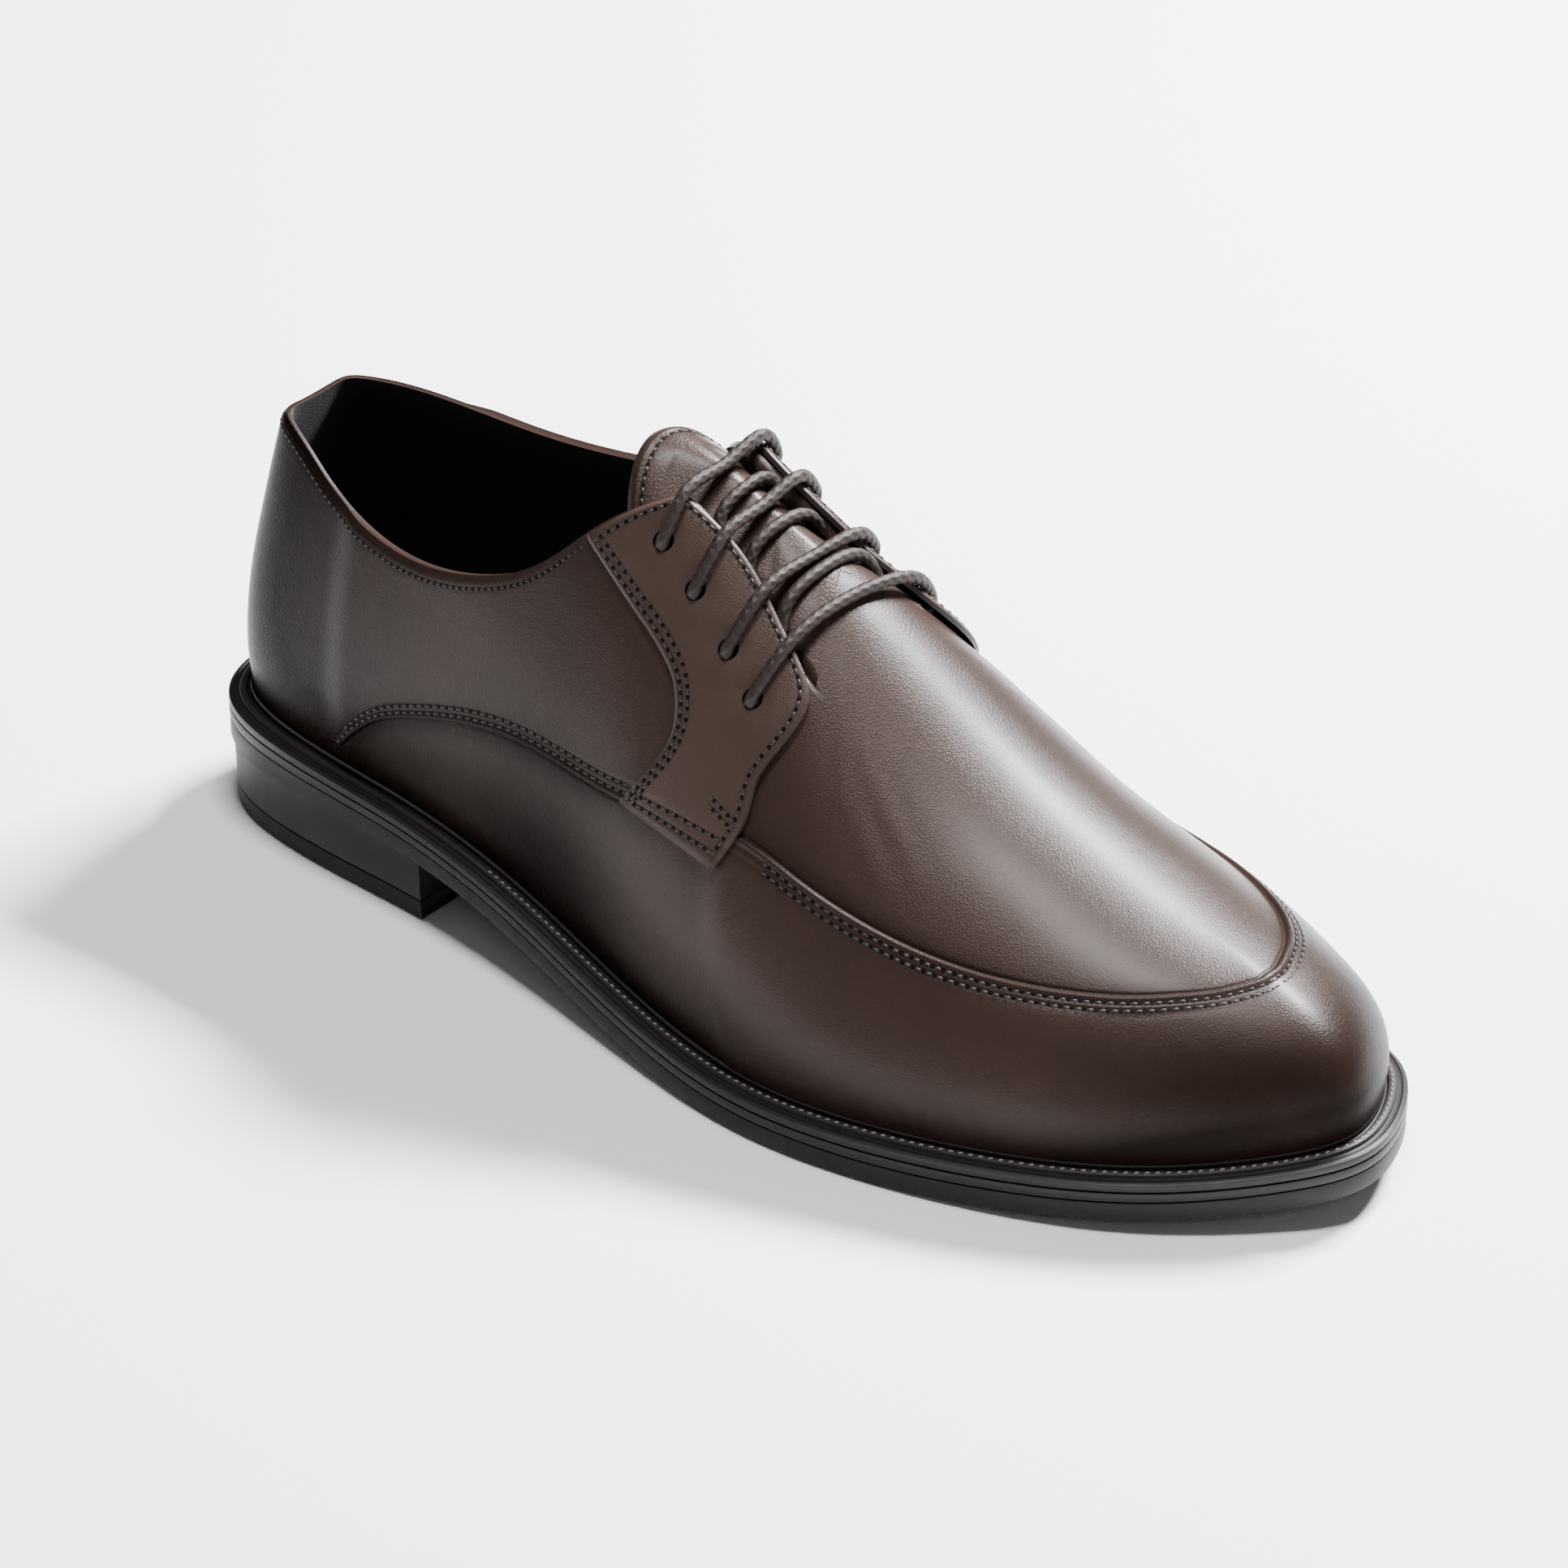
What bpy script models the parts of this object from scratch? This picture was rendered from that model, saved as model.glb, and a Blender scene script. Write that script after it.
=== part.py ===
"""Apron toe derby, the right shoe of a pair, standing empty on its sole.

Tables are in millimetres with x = 0 at the back of the heel, x towards the toe, y towards the
inner (medial) side and z up from the ground. The finished objects are in metres, with the origin
on the ground below the middle of the shoe.
"""

import math

import bmesh
import bpy
import mathutils
import numpy as np

MM = 0.001

# Driving dimensions, in millimetres
WALL = 2.0
GAP = 0.3
LEDGE_INSET = 6.0
FEATHER_UP = 1.6
HEEL_LENGTH = 75.0
TOP_LIFT = 4.7
HEEL_BLOCK_INSET = 0.9
TOP_LIFT_INSET = 1.3
LAST_CONE_LATERAL = 15.0
LAST_CONE_MEDIAL = 19.0
CONE_MIDDLE = 0.28
CONE_STEPS = (-0.048, -0.032, -0.016, 0.0, 0.016, 0.032, 0.048)
EYELET_RADIUS = 2.4
EYELET_SIDES = 10
PUNCH_LENGTH = 14.0
LACE_RADIUS = 1.4
THROAT = 0.642

# Plan of the sole's edge. s runs from the heel back (0) to the toe tip (1) on both sides
SOLE_COLUMNS = ("s", "lateral x", "lateral y", "medial x", "medial y")
SOLE_PLAN = [
    (0.00, 0.0, 0.0, 0.0, 0.0),
    (0.08, 8.0, -20.5, 8.0, 22.5),
    (0.16, 30.0, -29.5, 30.0, 33.5),
    (0.28, 68.0, -34.0, 68.0, 36.0),
    (0.41, 112.0, -41.5, 112.0, 32.5),
    (0.52, 150.0, -51.0, 150.0, 34.5),
    (0.63, 186.0, -57.0, 186.0, 43.5),
    (0.72, 216.0, -54.5, 218.0, 50.5),
    (0.81, 246.0, -46.5, 250.0, 50.5),
    (0.90, 274.0, -32.5, 278.0, 41.0),
    (0.96, 294.0, -15.5, 296.0, 25.5),
    (1.00, 304.0, 2.0, 304.0, 2.0),
]

# Side view of the sole: height of the ledge at its rim and height of the underside
SIDE_COLUMNS = ("x", "rim z", "underside z")
SOLE_SIDE = [
    (0.0, 27.5, 17.0),
    (30.0, 26.0, 16.7),
    (70.0, 23.5, 15.5),
    (100.0, 19.5, 11.5),
    (135.0, 13.0, 4.5),
    (165.0, 9.6, 0.6),
    (195.0, 9.0, 0.0),
    (215.0, 9.4, 0.0),
    (240.0, 10.2, 1.0),
    (265.0, 11.4, 2.6),
    (290.0, 13.6, 4.8),
    (304.0, 16.0, 7.0),
]

# Sections of the last. Each runs up from the feather line to the ridge of the instep as one cubic
# curve: where it meets the ridge, how far it leaves the feather line outwards on each side and
# upwards, and how wide and how far down its upper end is held
LAST_COLUMNS = (
    "s", "ridge x", "lateral out", "medial out", "up", "lateral width", "medial width", "drop",
)
LAST_SECTIONS = [
    (0.00, 17.0, 5.0, 5.0, 22.0, 3.0, 3.0, -22.0),
    (0.08, 20.0, 5.0, 5.0, 22.0, 4.0, 4.0, -22.0),
    (0.16, 34.0, 6.0, 6.0, 22.0, 6.0, 6.0, -24.0),
    (0.28, 66.0, 6.0, 6.0, 22.0, 10.0, 10.0, -26.0),
    (0.41, 100.0, 6.0, 8.0, 24.0, 12.0, 16.0, -20.0),
    (0.52, 124.0, 8.0, 12.0, 26.0, 16.0, 21.0, -10.0),
    (0.63, 156.0, 8.0, 15.0, 27.0, 23.0, 39.0, 0.0),
    (0.72, 190.0, 7.0, 10.0, 24.0, 28.0, 33.0, 0.0),
    (0.81, 222.0, 6.0, 8.0, 22.0, 27.0, 28.0, 0.0),
    (0.90, 246.0, 5.0, 6.0, 20.0, 25.0, 26.0, 0.0),
    (0.96, 257.0, 5.0, 5.0, 19.0, 24.0, 24.0, 0.0),
    (1.00, 261.0, 5.0, 5.0, 19.0, 24.0, 24.0, 0.0),
]

# Ridge of the instep
RIDGE_COLUMNS = ("x", "y", "z")
RIDGE = [
    (10.0, 0.0, 102.0),
    (60.0, 0.5, 114.0),
    (105.0, 1.5, 124.0),
    (125.0, 2.5, 121.0),
    (155.0, 5.5, 104.0),
    (185.0, 7.0, 84.0),
    (212.0, 6.5, 68.5),
    (238.0, 5.0, 57.5),
    (262.0, 4.0, 49.5),
    (290.0, 3.5, 42.0),
]

# Height of the upper's top edge: collar, front corner of the facing, edge of the facing
TOPLINE_COLUMNS = ("s", "lateral z", "medial z")
TOPLINE = [
    (0.000, 97.5, 97.5),
    (0.050, 98.0, 98.0),
    (0.100, 97.0, 97.5),
    (0.140, 94.5, 97.0),
    (0.180, 90.0, 96.0),
    (0.220, 86.0, 94.5),
    (0.260, 83.8, 93.2),
    (0.300, 84.0, 93.0),
    (0.340, 86.7, 94.3),
    (0.380, 91.5, 97.5),
    (0.410, 97.0, 101.5),
    (0.440, 103.5, 106.0),
    (0.475, 109.5, 112.0),
    (0.505, 113.0, 115.0),
    (0.530, 114.5, 116.2),
    (0.555, 110.5, 112.8),
    (0.590, 101.5, 103.0),
    (0.620, 91.5, 94.0),
    (0.642, 85.0, 88.0),
]

# The seam round the shoe, as a height on the section from 0 at the sole to 1 at the ridge:
# the top of the mudguard behind, the edge of the apron in front
SEAM_COLUMNS = ("s", "v")
SEAM = [
    (0.20, 0.00),
    (0.22, 0.10),
    (0.245, 0.20),
    (0.285, 0.28),
    (0.32, 0.32),
    (0.39, 0.36),
    (0.50, 0.376),
    (0.56, 0.41),
    (0.61, 0.433),
    (0.65, 0.432),
    (0.72, 0.447),
    (0.78, 0.478),
    (0.815, 0.506),
    (0.85, 0.545),
    (0.885, 0.597),
    (0.915, 0.653),
    (0.945, 0.712),
    (0.970, 0.766),
    (0.985, 0.791),
    (1.00, 0.805),
]

# Eyestay: how far down it (0 to 1), s and height of its rear edge, s of its front edge and the
# height of that edge on each side
EYESTAY_COLUMNS = ("t", "rear s", "rear v", "front s", "lateral front v", "medial front v")
EYESTAY = [
    (0.00, 0.448, 0.755, 0.530, 0.880, 0.912),
    (0.14, 0.480, 0.695, 0.560, 0.850, 0.898),
    (0.28, 0.510, 0.644, 0.589, 0.810, 0.860),
    (0.40, 0.532, 0.603, 0.616, 0.758, 0.828),
    (0.50, 0.541, 0.574, 0.635, 0.722, 0.795),
    (0.60, 0.544, 0.538, 0.639, 0.674, 0.720),
    (0.72, 0.541, 0.500, 0.626, 0.590, 0.610),
    (0.84, 0.530, 0.460, 0.612, 0.510, 0.517),
    (0.93, 0.515, 0.420, 0.606, 0.446, 0.448),
    (1.00, 0.498, 0.376, 0.586, 0.362, 0.362),
]
EYESTAY_UNDER = 1.5
EYESTAY_OVER = 2.8

# Eyelets from the top: s and height on the section on the lateral and on the medial side, where
# the lace's bar between them crosses the facings' edges and how far it stays over the ridge
EYELET_COLUMNS = (
    "lateral s", "lateral v", "medial s", "medial v", "lateral edge s", "medial edge s", "over ridge",
)
EYELETS = [
    (0.520, 0.781, 0.514, 0.828, 0.533, 0.529, -0.5),
    (0.549, 0.724, 0.548, 0.798, 0.566, 0.564, -0.5),
    (0.579, 0.667, 0.583, 0.754, 0.598, 0.599, 0.5),
    (0.602, 0.626, 0.614, 0.718, 0.622, 0.629, 2.0),
]

# Where the lace's three crossings under the facings leave the facings' edges
UNDER_CROSSINGS = [0.560, 0.585, 0.613]


def cubic_slopes(knots, values, period=None):
    """Second derivatives of the cubic spline through the values, closed when a period is given."""
    n = len(knots)
    matrix = np.eye(n)
    right = np.zeros(n)
    rows = range(n) if period else range(1, n - 1)
    for i in rows:
        if period:
            before = (knots[i] - knots[i - 1]) % period
            after = (knots[(i + 1) % n] - knots[i]) % period
        else:
            before = knots[i] - knots[i - 1]
            after = knots[i + 1] - knots[i]
        matrix[i, i] = 2.0 * (before + after)
        matrix[i, i - 1] += before
        matrix[i, (i + 1) % n] += after
        rise = (values[(i + 1) % n] - values[i]) / after
        fall = (values[i] - values[i - 1]) / before
        right[i] = 6.0 * (rise - fall)
    return np.linalg.solve(matrix, right)


def smooth_line(table, columns, name, period=None):
    """A smooth function through the named column of a table whose first column is its argument."""
    column = columns.index(name)
    knots = np.array([row[0] for row in table])
    values = np.array([row[column] for row in table])
    bends = cubic_slopes(knots, values, period)
    n = len(knots)

    def at(t):
        t = np.asarray(t, float)
        t = (t - knots[0]) % period + knots[0] if period else np.clip(t, knots[0], knots[-1])
        last_start = n - 1 if period else n - 2
        i = np.clip(np.searchsorted(knots, t, side="right") - 1, 0, last_start)
        j = (i + 1) % n
        width = (knots[j] - knots[i]) % period if period else knots[j] - knots[i]
        ahead = t - knots[i]
        left = width - ahead
        curve = (bends[i] * left**3 + bends[j] * ahead**3) / (6.0 * width)
        start = (values[i] / width - bends[i] * width / 6.0) * left
        end = (values[j] / width - bends[j] * width / 6.0) * ahead
        return curve + start + end

    return at


def round_shoe(table, columns, lateral, medial):
    """A smooth function of r: 0 to 1 up the lateral side, 1 to 2 back down the medial side."""
    there = [(row[0], row[columns.index(lateral)]) for row in table]
    back = [(2.0 - row[0], row[columns.index(medial)]) for row in table[-2:0:-1]]
    return smooth_line(there + back, ("r", "value"), "value", 2.0)


SOLE_X = round_shoe(SOLE_PLAN, SOLE_COLUMNS, "lateral x", "medial x")
SOLE_Y = round_shoe(SOLE_PLAN, SOLE_COLUMNS, "lateral y", "medial y")
RIM_Z = smooth_line(SOLE_SIDE, SIDE_COLUMNS, "rim z")
UNDERSIDE = smooth_line(SOLE_SIDE, SIDE_COLUMNS, "underside z")
RIDGE_Y = smooth_line(RIDGE, RIDGE_COLUMNS, "y")
RIDGE_Z = smooth_line(RIDGE, RIDGE_COLUMNS, "z")
SECTION_TOP_X = round_shoe(LAST_SECTIONS, LAST_COLUMNS, "ridge x", "ridge x")
SECTION_OUT = round_shoe(LAST_SECTIONS, LAST_COLUMNS, "lateral out", "medial out")
SECTION_UP = round_shoe(LAST_SECTIONS, LAST_COLUMNS, "up", "up")
SECTION_WIDTH = round_shoe(LAST_SECTIONS, LAST_COLUMNS, "lateral width", "medial width")
SECTION_DROP = round_shoe(LAST_SECTIONS, LAST_COLUMNS, "drop", "drop")
TOP_LATERAL = smooth_line(TOPLINE, TOPLINE_COLUMNS, "lateral z")
TOP_MEDIAL = smooth_line(TOPLINE, TOPLINE_COLUMNS, "medial z")
SEAM_HEIGHT = smooth_line(SEAM + [(2.0 - s, v) for s, v in SEAM[-2::-1]], SEAM_COLUMNS, "v")
LATERAL_EDGE = min(float(SOLE_Y(s)) for s in np.linspace(0.5, 0.8, 61))
MEDIAL_EDGE = max(float(SOLE_Y(2.0 - s)) for s in np.linspace(0.6, 0.9, 61))
CENTRE = np.array([SOLE_PLAN[-1][1] / 2.0, (LATERAL_EDGE + MEDIAL_EDGE) / 2.0, 0.0])


def ease(value, start, end):
    """0 before start, 1 after end, smooth between."""
    t = np.clip((np.asarray(value, float) - start) / (end - start), 0.0, 1.0)
    return t * t * (3.0 - 2.0 * t)


def along(r):
    """s of a place r round the shoe."""
    r = np.asarray(r, float) % 2.0
    return np.where(r <= 1.0, r, 2.0 - r)


def underside_z(x):
    """Underside of the outsole: it stands flat on the ground under the ball."""
    return np.maximum(UNDERSIDE(x), 0.0)


def outward(r):
    """Unit direction in plan that points out of the sole at r."""
    step = 0.001
    dx = SOLE_X(r + step) - SOLE_X(r - step)
    dy = SOLE_Y(r + step) - SOLE_Y(r - step)
    length = np.hypot(dx, dy)
    return dy / length, -dx / length


def rim(r, inset):
    """Plan position a distance inside the sole's edge."""
    ox, oy = outward(r)
    return SOLE_X(r) - inset * ox, SOLE_Y(r) - inset * oy


def cone_share(s):
    """How wide the last's open top is: an ellipse behind that runs out softly in front."""
    def ellipse(place):
        return np.sqrt(np.clip(1.0 - ((place - CONE_MIDDLE) / CONE_MIDDLE) ** 2, 0.0, 1.0))
    soft = sum(ellipse(s + step) for step in CONE_STEPS) / len(CONE_STEPS)
    front = ease(s, 0.36, 0.46)
    return (1.0 - front) * ellipse(s) + front * soft


def last_point(r, v, cone=1.0):
    """A point of the last's outside. v is 0 at the feather line and 1 at the ridge."""
    r, v = np.broadcast_arrays(np.asarray(r, float), np.asarray(v, float))
    s = along(r)
    medial = (r % 2.0) > 1.0
    ox, oy = outward(r)
    x0, y0 = rim(r, LEDGE_INSET)
    foot = np.stack([x0, y0, RIM_Z(SOLE_X(r)) + FEATHER_UP], -1)
    out = SECTION_OUT(r)
    lower = foot + np.stack([out * ox, out * oy, SECTION_UP(r)], -1)
    top_x = SECTION_TOP_X(r)
    half = np.where(medial, LAST_CONE_MEDIAL, -LAST_CONE_LATERAL) * cone * cone_share(s)
    top = np.stack([top_x, RIDGE_Y(top_x) + half, RIDGE_Z(top_x)], -1)
    away = foot[..., :2] - top[..., :2]
    away = away / np.linalg.norm(away, axis=-1, keepdims=True)
    width = SECTION_WIDTH(r)
    slope = RIDGE_Z(top_x + 0.5) - RIDGE_Z(top_x - 0.5)
    level = np.clip((s - 0.45) / 0.15, 0.0, 1.0)
    drop = SECTION_DROP(r) * (cone + (1.0 - cone) * ease(s, 0.50, 0.56))
    fall = drop + away[..., 0] * width * slope * level
    upper = top + np.stack([away[..., 0] * width, away[..., 1] * width, fall], -1)
    a = v[..., None]
    b = 1.0 - a
    return b**3 * foot + 3.0 * b**2 * a * lower + 3.0 * b * a**2 * upper + a**3 * top


def last_offset(r, v, height, cone=1.0):
    """A point a height outside the last, along its normal."""
    step = 0.002
    v = np.clip(v, 0.001, 0.999)
    across = last_point(r + step, v, cone) - last_point(r - step, v, cone)
    upward = last_point(r, v + 0.001, cone) - last_point(r, v - 0.001, cone)
    normal = np.cross(across, upward)
    normal = normal / np.linalg.norm(normal, axis=-1, keepdims=True)
    return last_point(r, v, cone) + normal * np.asarray(height, float)[..., None]


def topline_v(r):
    """Where the section at r reaches the height of the upper's top edge."""
    s = float(along(r))
    height = float(TOP_MEDIAL(s) if (r % 2.0) > 1.0 else TOP_LATERAL(s))
    low, high = 0.3, 1.0
    for _ in range(40):
        middle = (low + high) / 2.0
        if float(last_point(r, middle)[2]) < height:
            low = middle
        else:
            high = middle
    return (low + high) / 2.0


def to_metres(points):
    """Row frame: metres, origin on the ground below the middle of the shoe."""
    return [tuple((np.asarray(p, float) - CENTRE) * MM) for p in points]


def section_places():
    """s of the columns of the meshes, closer together round the heel and the toe."""
    heel = np.linspace(0.0, 0.16, 7)
    quarter = np.linspace(0.16, 0.53, 10)[1:]
    facing = np.linspace(0.53, THROAT, 5)[1:]
    vamp = np.linspace(THROAT, 0.86, 8)[1:]
    toe = np.linspace(0.86, 1.0, 9)[1:]
    return np.concatenate([heel, quarter, facing, vamp, toe])


PLACES = section_places()
RING = np.concatenate([PLACES, 2.0 - PLACES[-2:0:-1]])
TOE = len(PLACES) - 1


def material(name, colour, roughness, metallic=0.0):
    """A Principled material."""
    made = bpy.data.materials.new(name)
    made.use_nodes = True
    shader = made.node_tree.nodes["Principled BSDF"]
    shader.inputs["Base Color"].default_value = (*colour, 1.0)
    shader.inputs["Roughness"].default_value = roughness
    shader.inputs["Metallic"].default_value = metallic
    return made


def add_object(name, points, faces, look, sharp_angle=40.0):
    """A named closed mesh in the row frame, with its faces pointing out."""
    mesh = bpy.data.meshes.new(name)
    mesh.from_pydata(to_metres(points), [], faces)
    work = bmesh.new()
    work.from_mesh(mesh)
    bmesh.ops.remove_doubles(work, verts=work.verts, dist=0.00001)
    bmesh.ops.recalc_face_normals(work, faces=work.faces)
    work.to_mesh(mesh)
    work.free()
    mesh.shade_smooth()
    mesh.set_sharp_from_angle(angle=math.radians(sharp_angle))
    mesh.materials.append(look)
    made = bpy.data.objects.new(name, mesh)
    bpy.context.scene.collection.objects.link(made)
    return made


def ring_faces(lower, upper, count):
    """Quads between two closed rows of vertices that start at the given numbers."""
    faces = []
    for i in range(count):
        j = (i + 1) % count
        faces.append((lower + i, lower + j, upper + j, upper + i))
    return faces


def span_faces(start, count, toe, flip):
    """Strips from the lateral to the medial side of a closed row, as on a plate."""
    faces = []
    for i in range(toe):
        a = start + i
        b = start + i + 1
        c = start + (count - i - 1) % count
        d = start + (count - i) % count
        corners = [a, b, c, d]
        unique = []
        for corner in corners:
            if corner not in unique:
                unique.append(corner)
        if flip:
            unique.reverse()
        if len(unique) > 2:
            faces.append(tuple(unique))
    return faces


def sole_plate(name, profile, look, ring=RING, toe=TOE, inner=None):
    """A plate of the sole: rows of its side, from the top's inner edge down to the underside.

    Each row gives its inset from the sole's edge and its height as a function of x.
    """
    points = []
    count = len(ring)
    for inset, height in profile:
        x, y = rim(ring, inset)
        z = height(SOLE_X(ring))
        points.extend(np.stack([x, y, z], -1))
    faces = []
    for row in range(len(profile) - 1):
        faces.extend(ring_faces(row * count, (row + 1) * count, count))
    faces.extend(span_faces(0, count, toe, False))
    faces.extend(span_faces((len(profile) - 1) * count, count, toe, True))
    return add_object(name, points, faces, look)


def layer_z(share, lift=0.0):
    """Height at a share of the sole's thickness below its rim."""
    def height(x):
        top = RIM_Z(x)
        return top - share * (top - underside_z(x)) + lift
    return height


WELT_SHARE = 0.20
MIDSOLE_SHARE = 0.48
EDGE_ROUND = 0.35


def build_welt(look):
    """Ledge: flat rim, raised stitched strip, groove and lip round the upper's foot."""
    # inset, height above the rim
    shape = [(9.5, 1.25), (5.75, 1.25), (5.5, 1.9), (5.05, 1.85), (4.85, 0.55), (4.4, 0.5),
             (4.1, 0.95), (2.6, 0.75), (2.3, 0.2), (EDGE_ROUND, 0.0)]
    profile = [(inset, layer_z(0.0, rise)) for inset, rise in shape]
    profile.append((0.0, layer_z(0.0, -EDGE_ROUND)))
    profile.append((0.0, layer_z(WELT_SHARE, EDGE_ROUND)))
    profile.append((EDGE_ROUND, layer_z(WELT_SHARE)))
    return sole_plate("welt", profile, look)


def build_layer(name, top_share, bottom_share, look, side_inset=0.0):
    """A flat layer of the sole with eased edges."""
    deep = side_inset + EDGE_ROUND
    profile = [
        (deep, layer_z(top_share, -GAP)),
        (side_inset, layer_z(top_share, -GAP - EDGE_ROUND)),
        (side_inset, layer_z(bottom_share, EDGE_ROUND)),
        (deep, layer_z(bottom_share)),
    ]
    return sole_plate(name, profile, look)


def build_heel_piece(name, top, bottom, top_inset, bottom_inset, look):
    """Part of the heel: the back of the sole's outline, closed by a flat breast."""
    s_breast = float(np.interp(HEEL_LENGTH, SOLE_X(PLACES[:TOE]), PLACES[:TOE]))
    places = np.concatenate([PLACES[PLACES < s_breast - 0.01], [s_breast]])
    half = len(places)
    ring = np.concatenate([places, 2.0 - places[:0:-1]])
    count = len(ring)
    points = []
    for inset, height, breast_inset in (
        (top_inset + EDGE_ROUND, top, EDGE_ROUND),
        (top_inset, lambda x: top(x) - EDGE_ROUND, 0.0),
        (bottom_inset, lambda x: bottom(x) + EDGE_ROUND, 0.0),
        (bottom_inset + EDGE_ROUND, bottom, EDGE_ROUND),
    ):
        x, y = rim(ring, inset)
        limit = HEEL_LENGTH - breast_inset
        x = np.minimum(x, limit)
        x[half - 1] = limit
        x[half] = limit
        points.extend(np.stack([x, y, height(x)], -1))
    faces = []
    for row in range(3):
        faces.extend(ring_faces(row * count, (row + 1) * count, count))
    faces.extend(span_faces(0, count, half - 1, False))
    faces.extend(span_faces(3 * count, count, half - 1, True))
    return add_object(name, points, faces, look)


def build_sole(rubber, edge, lift):
    """Welt, midsole, outsole, heel block and top lift."""
    build_welt(edge)
    build_layer("midsole", WELT_SHARE, MIDSOLE_SHARE, edge)
    build_layer("outsole", MIDSOLE_SHARE, 1.0, rubber, 0.2)
    build_heel_piece("heel_block", lambda x: underside_z(x) - GAP, lambda x: 0.0 * x + TOP_LIFT + GAP,
                     HEEL_BLOCK_INSET, HEEL_BLOCK_INSET + 0.3, rubber)
    build_heel_piece("top_lift", lambda x: 0.0 * x + TOP_LIFT, lambda x: 0.0 * x,
                     TOP_LIFT_INSET, TOP_LIFT_INSET + 0.3, lift)


INSOLE_THICKNESS = 2.5


def build_insole(look):
    """Insole: a plate on the sole, inside the upper's wall."""
    inset = LEDGE_INSET + WALL + 0.6
    profile = [
        (inset + 0.3, layer_z(0.0, FEATHER_UP + INSOLE_THICKNESS)),
        (inset, layer_z(0.0, FEATHER_UP + INSOLE_THICKNESS - 0.3)),
        (inset, layer_z(0.0, FEATHER_UP)),
    ]
    return sole_plate("insole", profile, look)


SEAM_HALF = 0.004
STEP_HEIGHT = 0.9
SEAM_FLOOR = 0.06
ROWS_BELOW = 5
ROWS_ABOVE = 6
ROWS_VAMP = 4


def seam_v(r):
    """Height of the seam on the section at r, never quite down at the sole."""
    s = along(r)
    return np.maximum(np.where(s > SEAM[0][0], SEAM_HEIGHT(s), 0.0), SEAM_FLOOR)


def seam_steps(r):
    """How far the upper stands off the last below and above the seam at r."""
    s = along(r)
    in_front = ease(s, 0.52, 0.60)
    starts = ease(s, 0.20, 0.24)
    below = STEP_HEIGHT * in_front
    above = STEP_HEIGHT * (1.0 - in_front) * starts
    return below, above


def upper_rows(r):
    """The rows of the upper's section at r, as (v, height off the last)."""
    s = float(along(r))
    seam = float(seam_v(r))
    below, above = seam_steps(r)
    if s <= THROAT + 0.0001:
        edge = topline_v(r)
    else:
        share = (topline_v(THROAT) - float(seam_v(THROAT))) / (1.0 - float(seam_v(THROAT)))
        edge = seam + share * (1.0 - seam)
    rows = []
    for k in range(ROWS_BELOW + 1):
        v = (seam - SEAM_HALF) * k / ROWS_BELOW
        rows.append((v, float(below) * float(ease(v, 0.0, 0.12))))
    for k in range(ROWS_ABOVE + 1):
        v = seam + SEAM_HALF + (edge - seam - SEAM_HALF) * k / ROWS_ABOVE
        rows.append((v, float(above)))
    for k in range(1, ROWS_VAMP + 1):
        rows.append((edge + (1.0 - edge) * k / ROWS_VAMP, 0.0))
    return rows


def upper_grid():
    """Vertex numbers of one skin of the upper, by column and row, and its outer points."""
    points = []
    numbers = {}
    count = len(RING)
    edge_row = ROWS_BELOW + ROWS_ABOVE + 1
    top_row = edge_row + ROWS_VAMP
    for i, r in enumerate(RING):
        s = float(along(r))
        rows = upper_rows(r)
        has_vamp = s > THROAT - 0.0001
        for k, (v, height) in enumerate(rows):
            if k > edge_row and not has_vamp:
                break
            mirror = (count - i) % count
            if k == top_row and mirror < i:
                numbers[i, k] = numbers[mirror, k]
                continue
            numbers[i, k] = len(points)
            points.append(last_offset(np.array(r), np.array(v), np.array(height)))
    return points, numbers, edge_row, top_row


def skin_faces(numbers, edge_row, top_row):
    """Quads of one skin, lateral side first, and triangles where columns meet on the ridge."""
    faces = []
    count = len(RING)
    for i in range(count):
        j = (i + 1) % count
        both_vamp = (i, top_row) in numbers and (j, top_row) in numbers
        rows = top_row if both_vamp else edge_row
        for k in range(rows):
            corners = [numbers[i, k], numbers[j, k], numbers[j, k + 1], numbers[i, k + 1]]
            unique = []
            for corner in corners:
                if corner not in unique:
                    unique.append(corner)
            faces.append(tuple(unique))
    return faces


def skin_normals(points, faces):
    """Average normal at each point of a skin."""
    points = np.array(points)
    normals = np.zeros_like(points)
    for face in faces:
        corners = points[list(face)]
        middle = corners.mean(0)
        total = np.zeros(3)
        for a in range(len(face)):
            total += np.cross(corners[a] - middle, corners[(a + 1) % len(face)] - middle)
        for corner in face:
            normals[corner] += total
    return normals / np.linalg.norm(normals, axis=1, keepdims=True)


def border_edges(faces):
    """Edges that only one face uses, in that face's direction."""
    used = {}
    for face in faces:
        for a in range(len(face)):
            edge = (face[a], face[(a + 1) % len(face)])
            used[edge] = True
    return [edge for edge in used if (edge[1], edge[0]) not in used]


def thicken(points, faces, thickness):
    """Close a skin into a solid wall that reaches inwards from it."""
    normals = skin_normals(points, faces)
    outer = np.array(points)
    inner = outer - normals * thickness
    count = len(points)
    solid = list(faces)
    solid.extend(tuple(count + corner for corner in reversed(face)) for face in faces)
    for a, b in border_edges(faces):
        solid.append((b, a, count + a, count + b))
    return np.concatenate([outer, inner]), solid


def eyelet_frame(r, v):
    """Centre of an eyelet on the last and the direction of its axis, in millimetres."""
    low = last_offset(np.array(r), np.array(v), np.array(0.0))
    high = last_offset(np.array(r), np.array(v), np.array(1.0))
    return low, high - low


def turn_to(axis):
    """Rotation that turns +Z to the axis."""
    turn = mathutils.Vector((0.0, 0.0, 1.0)).rotation_difference(mathutils.Vector(axis))
    return turn.to_matrix().to_4x4()


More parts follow.
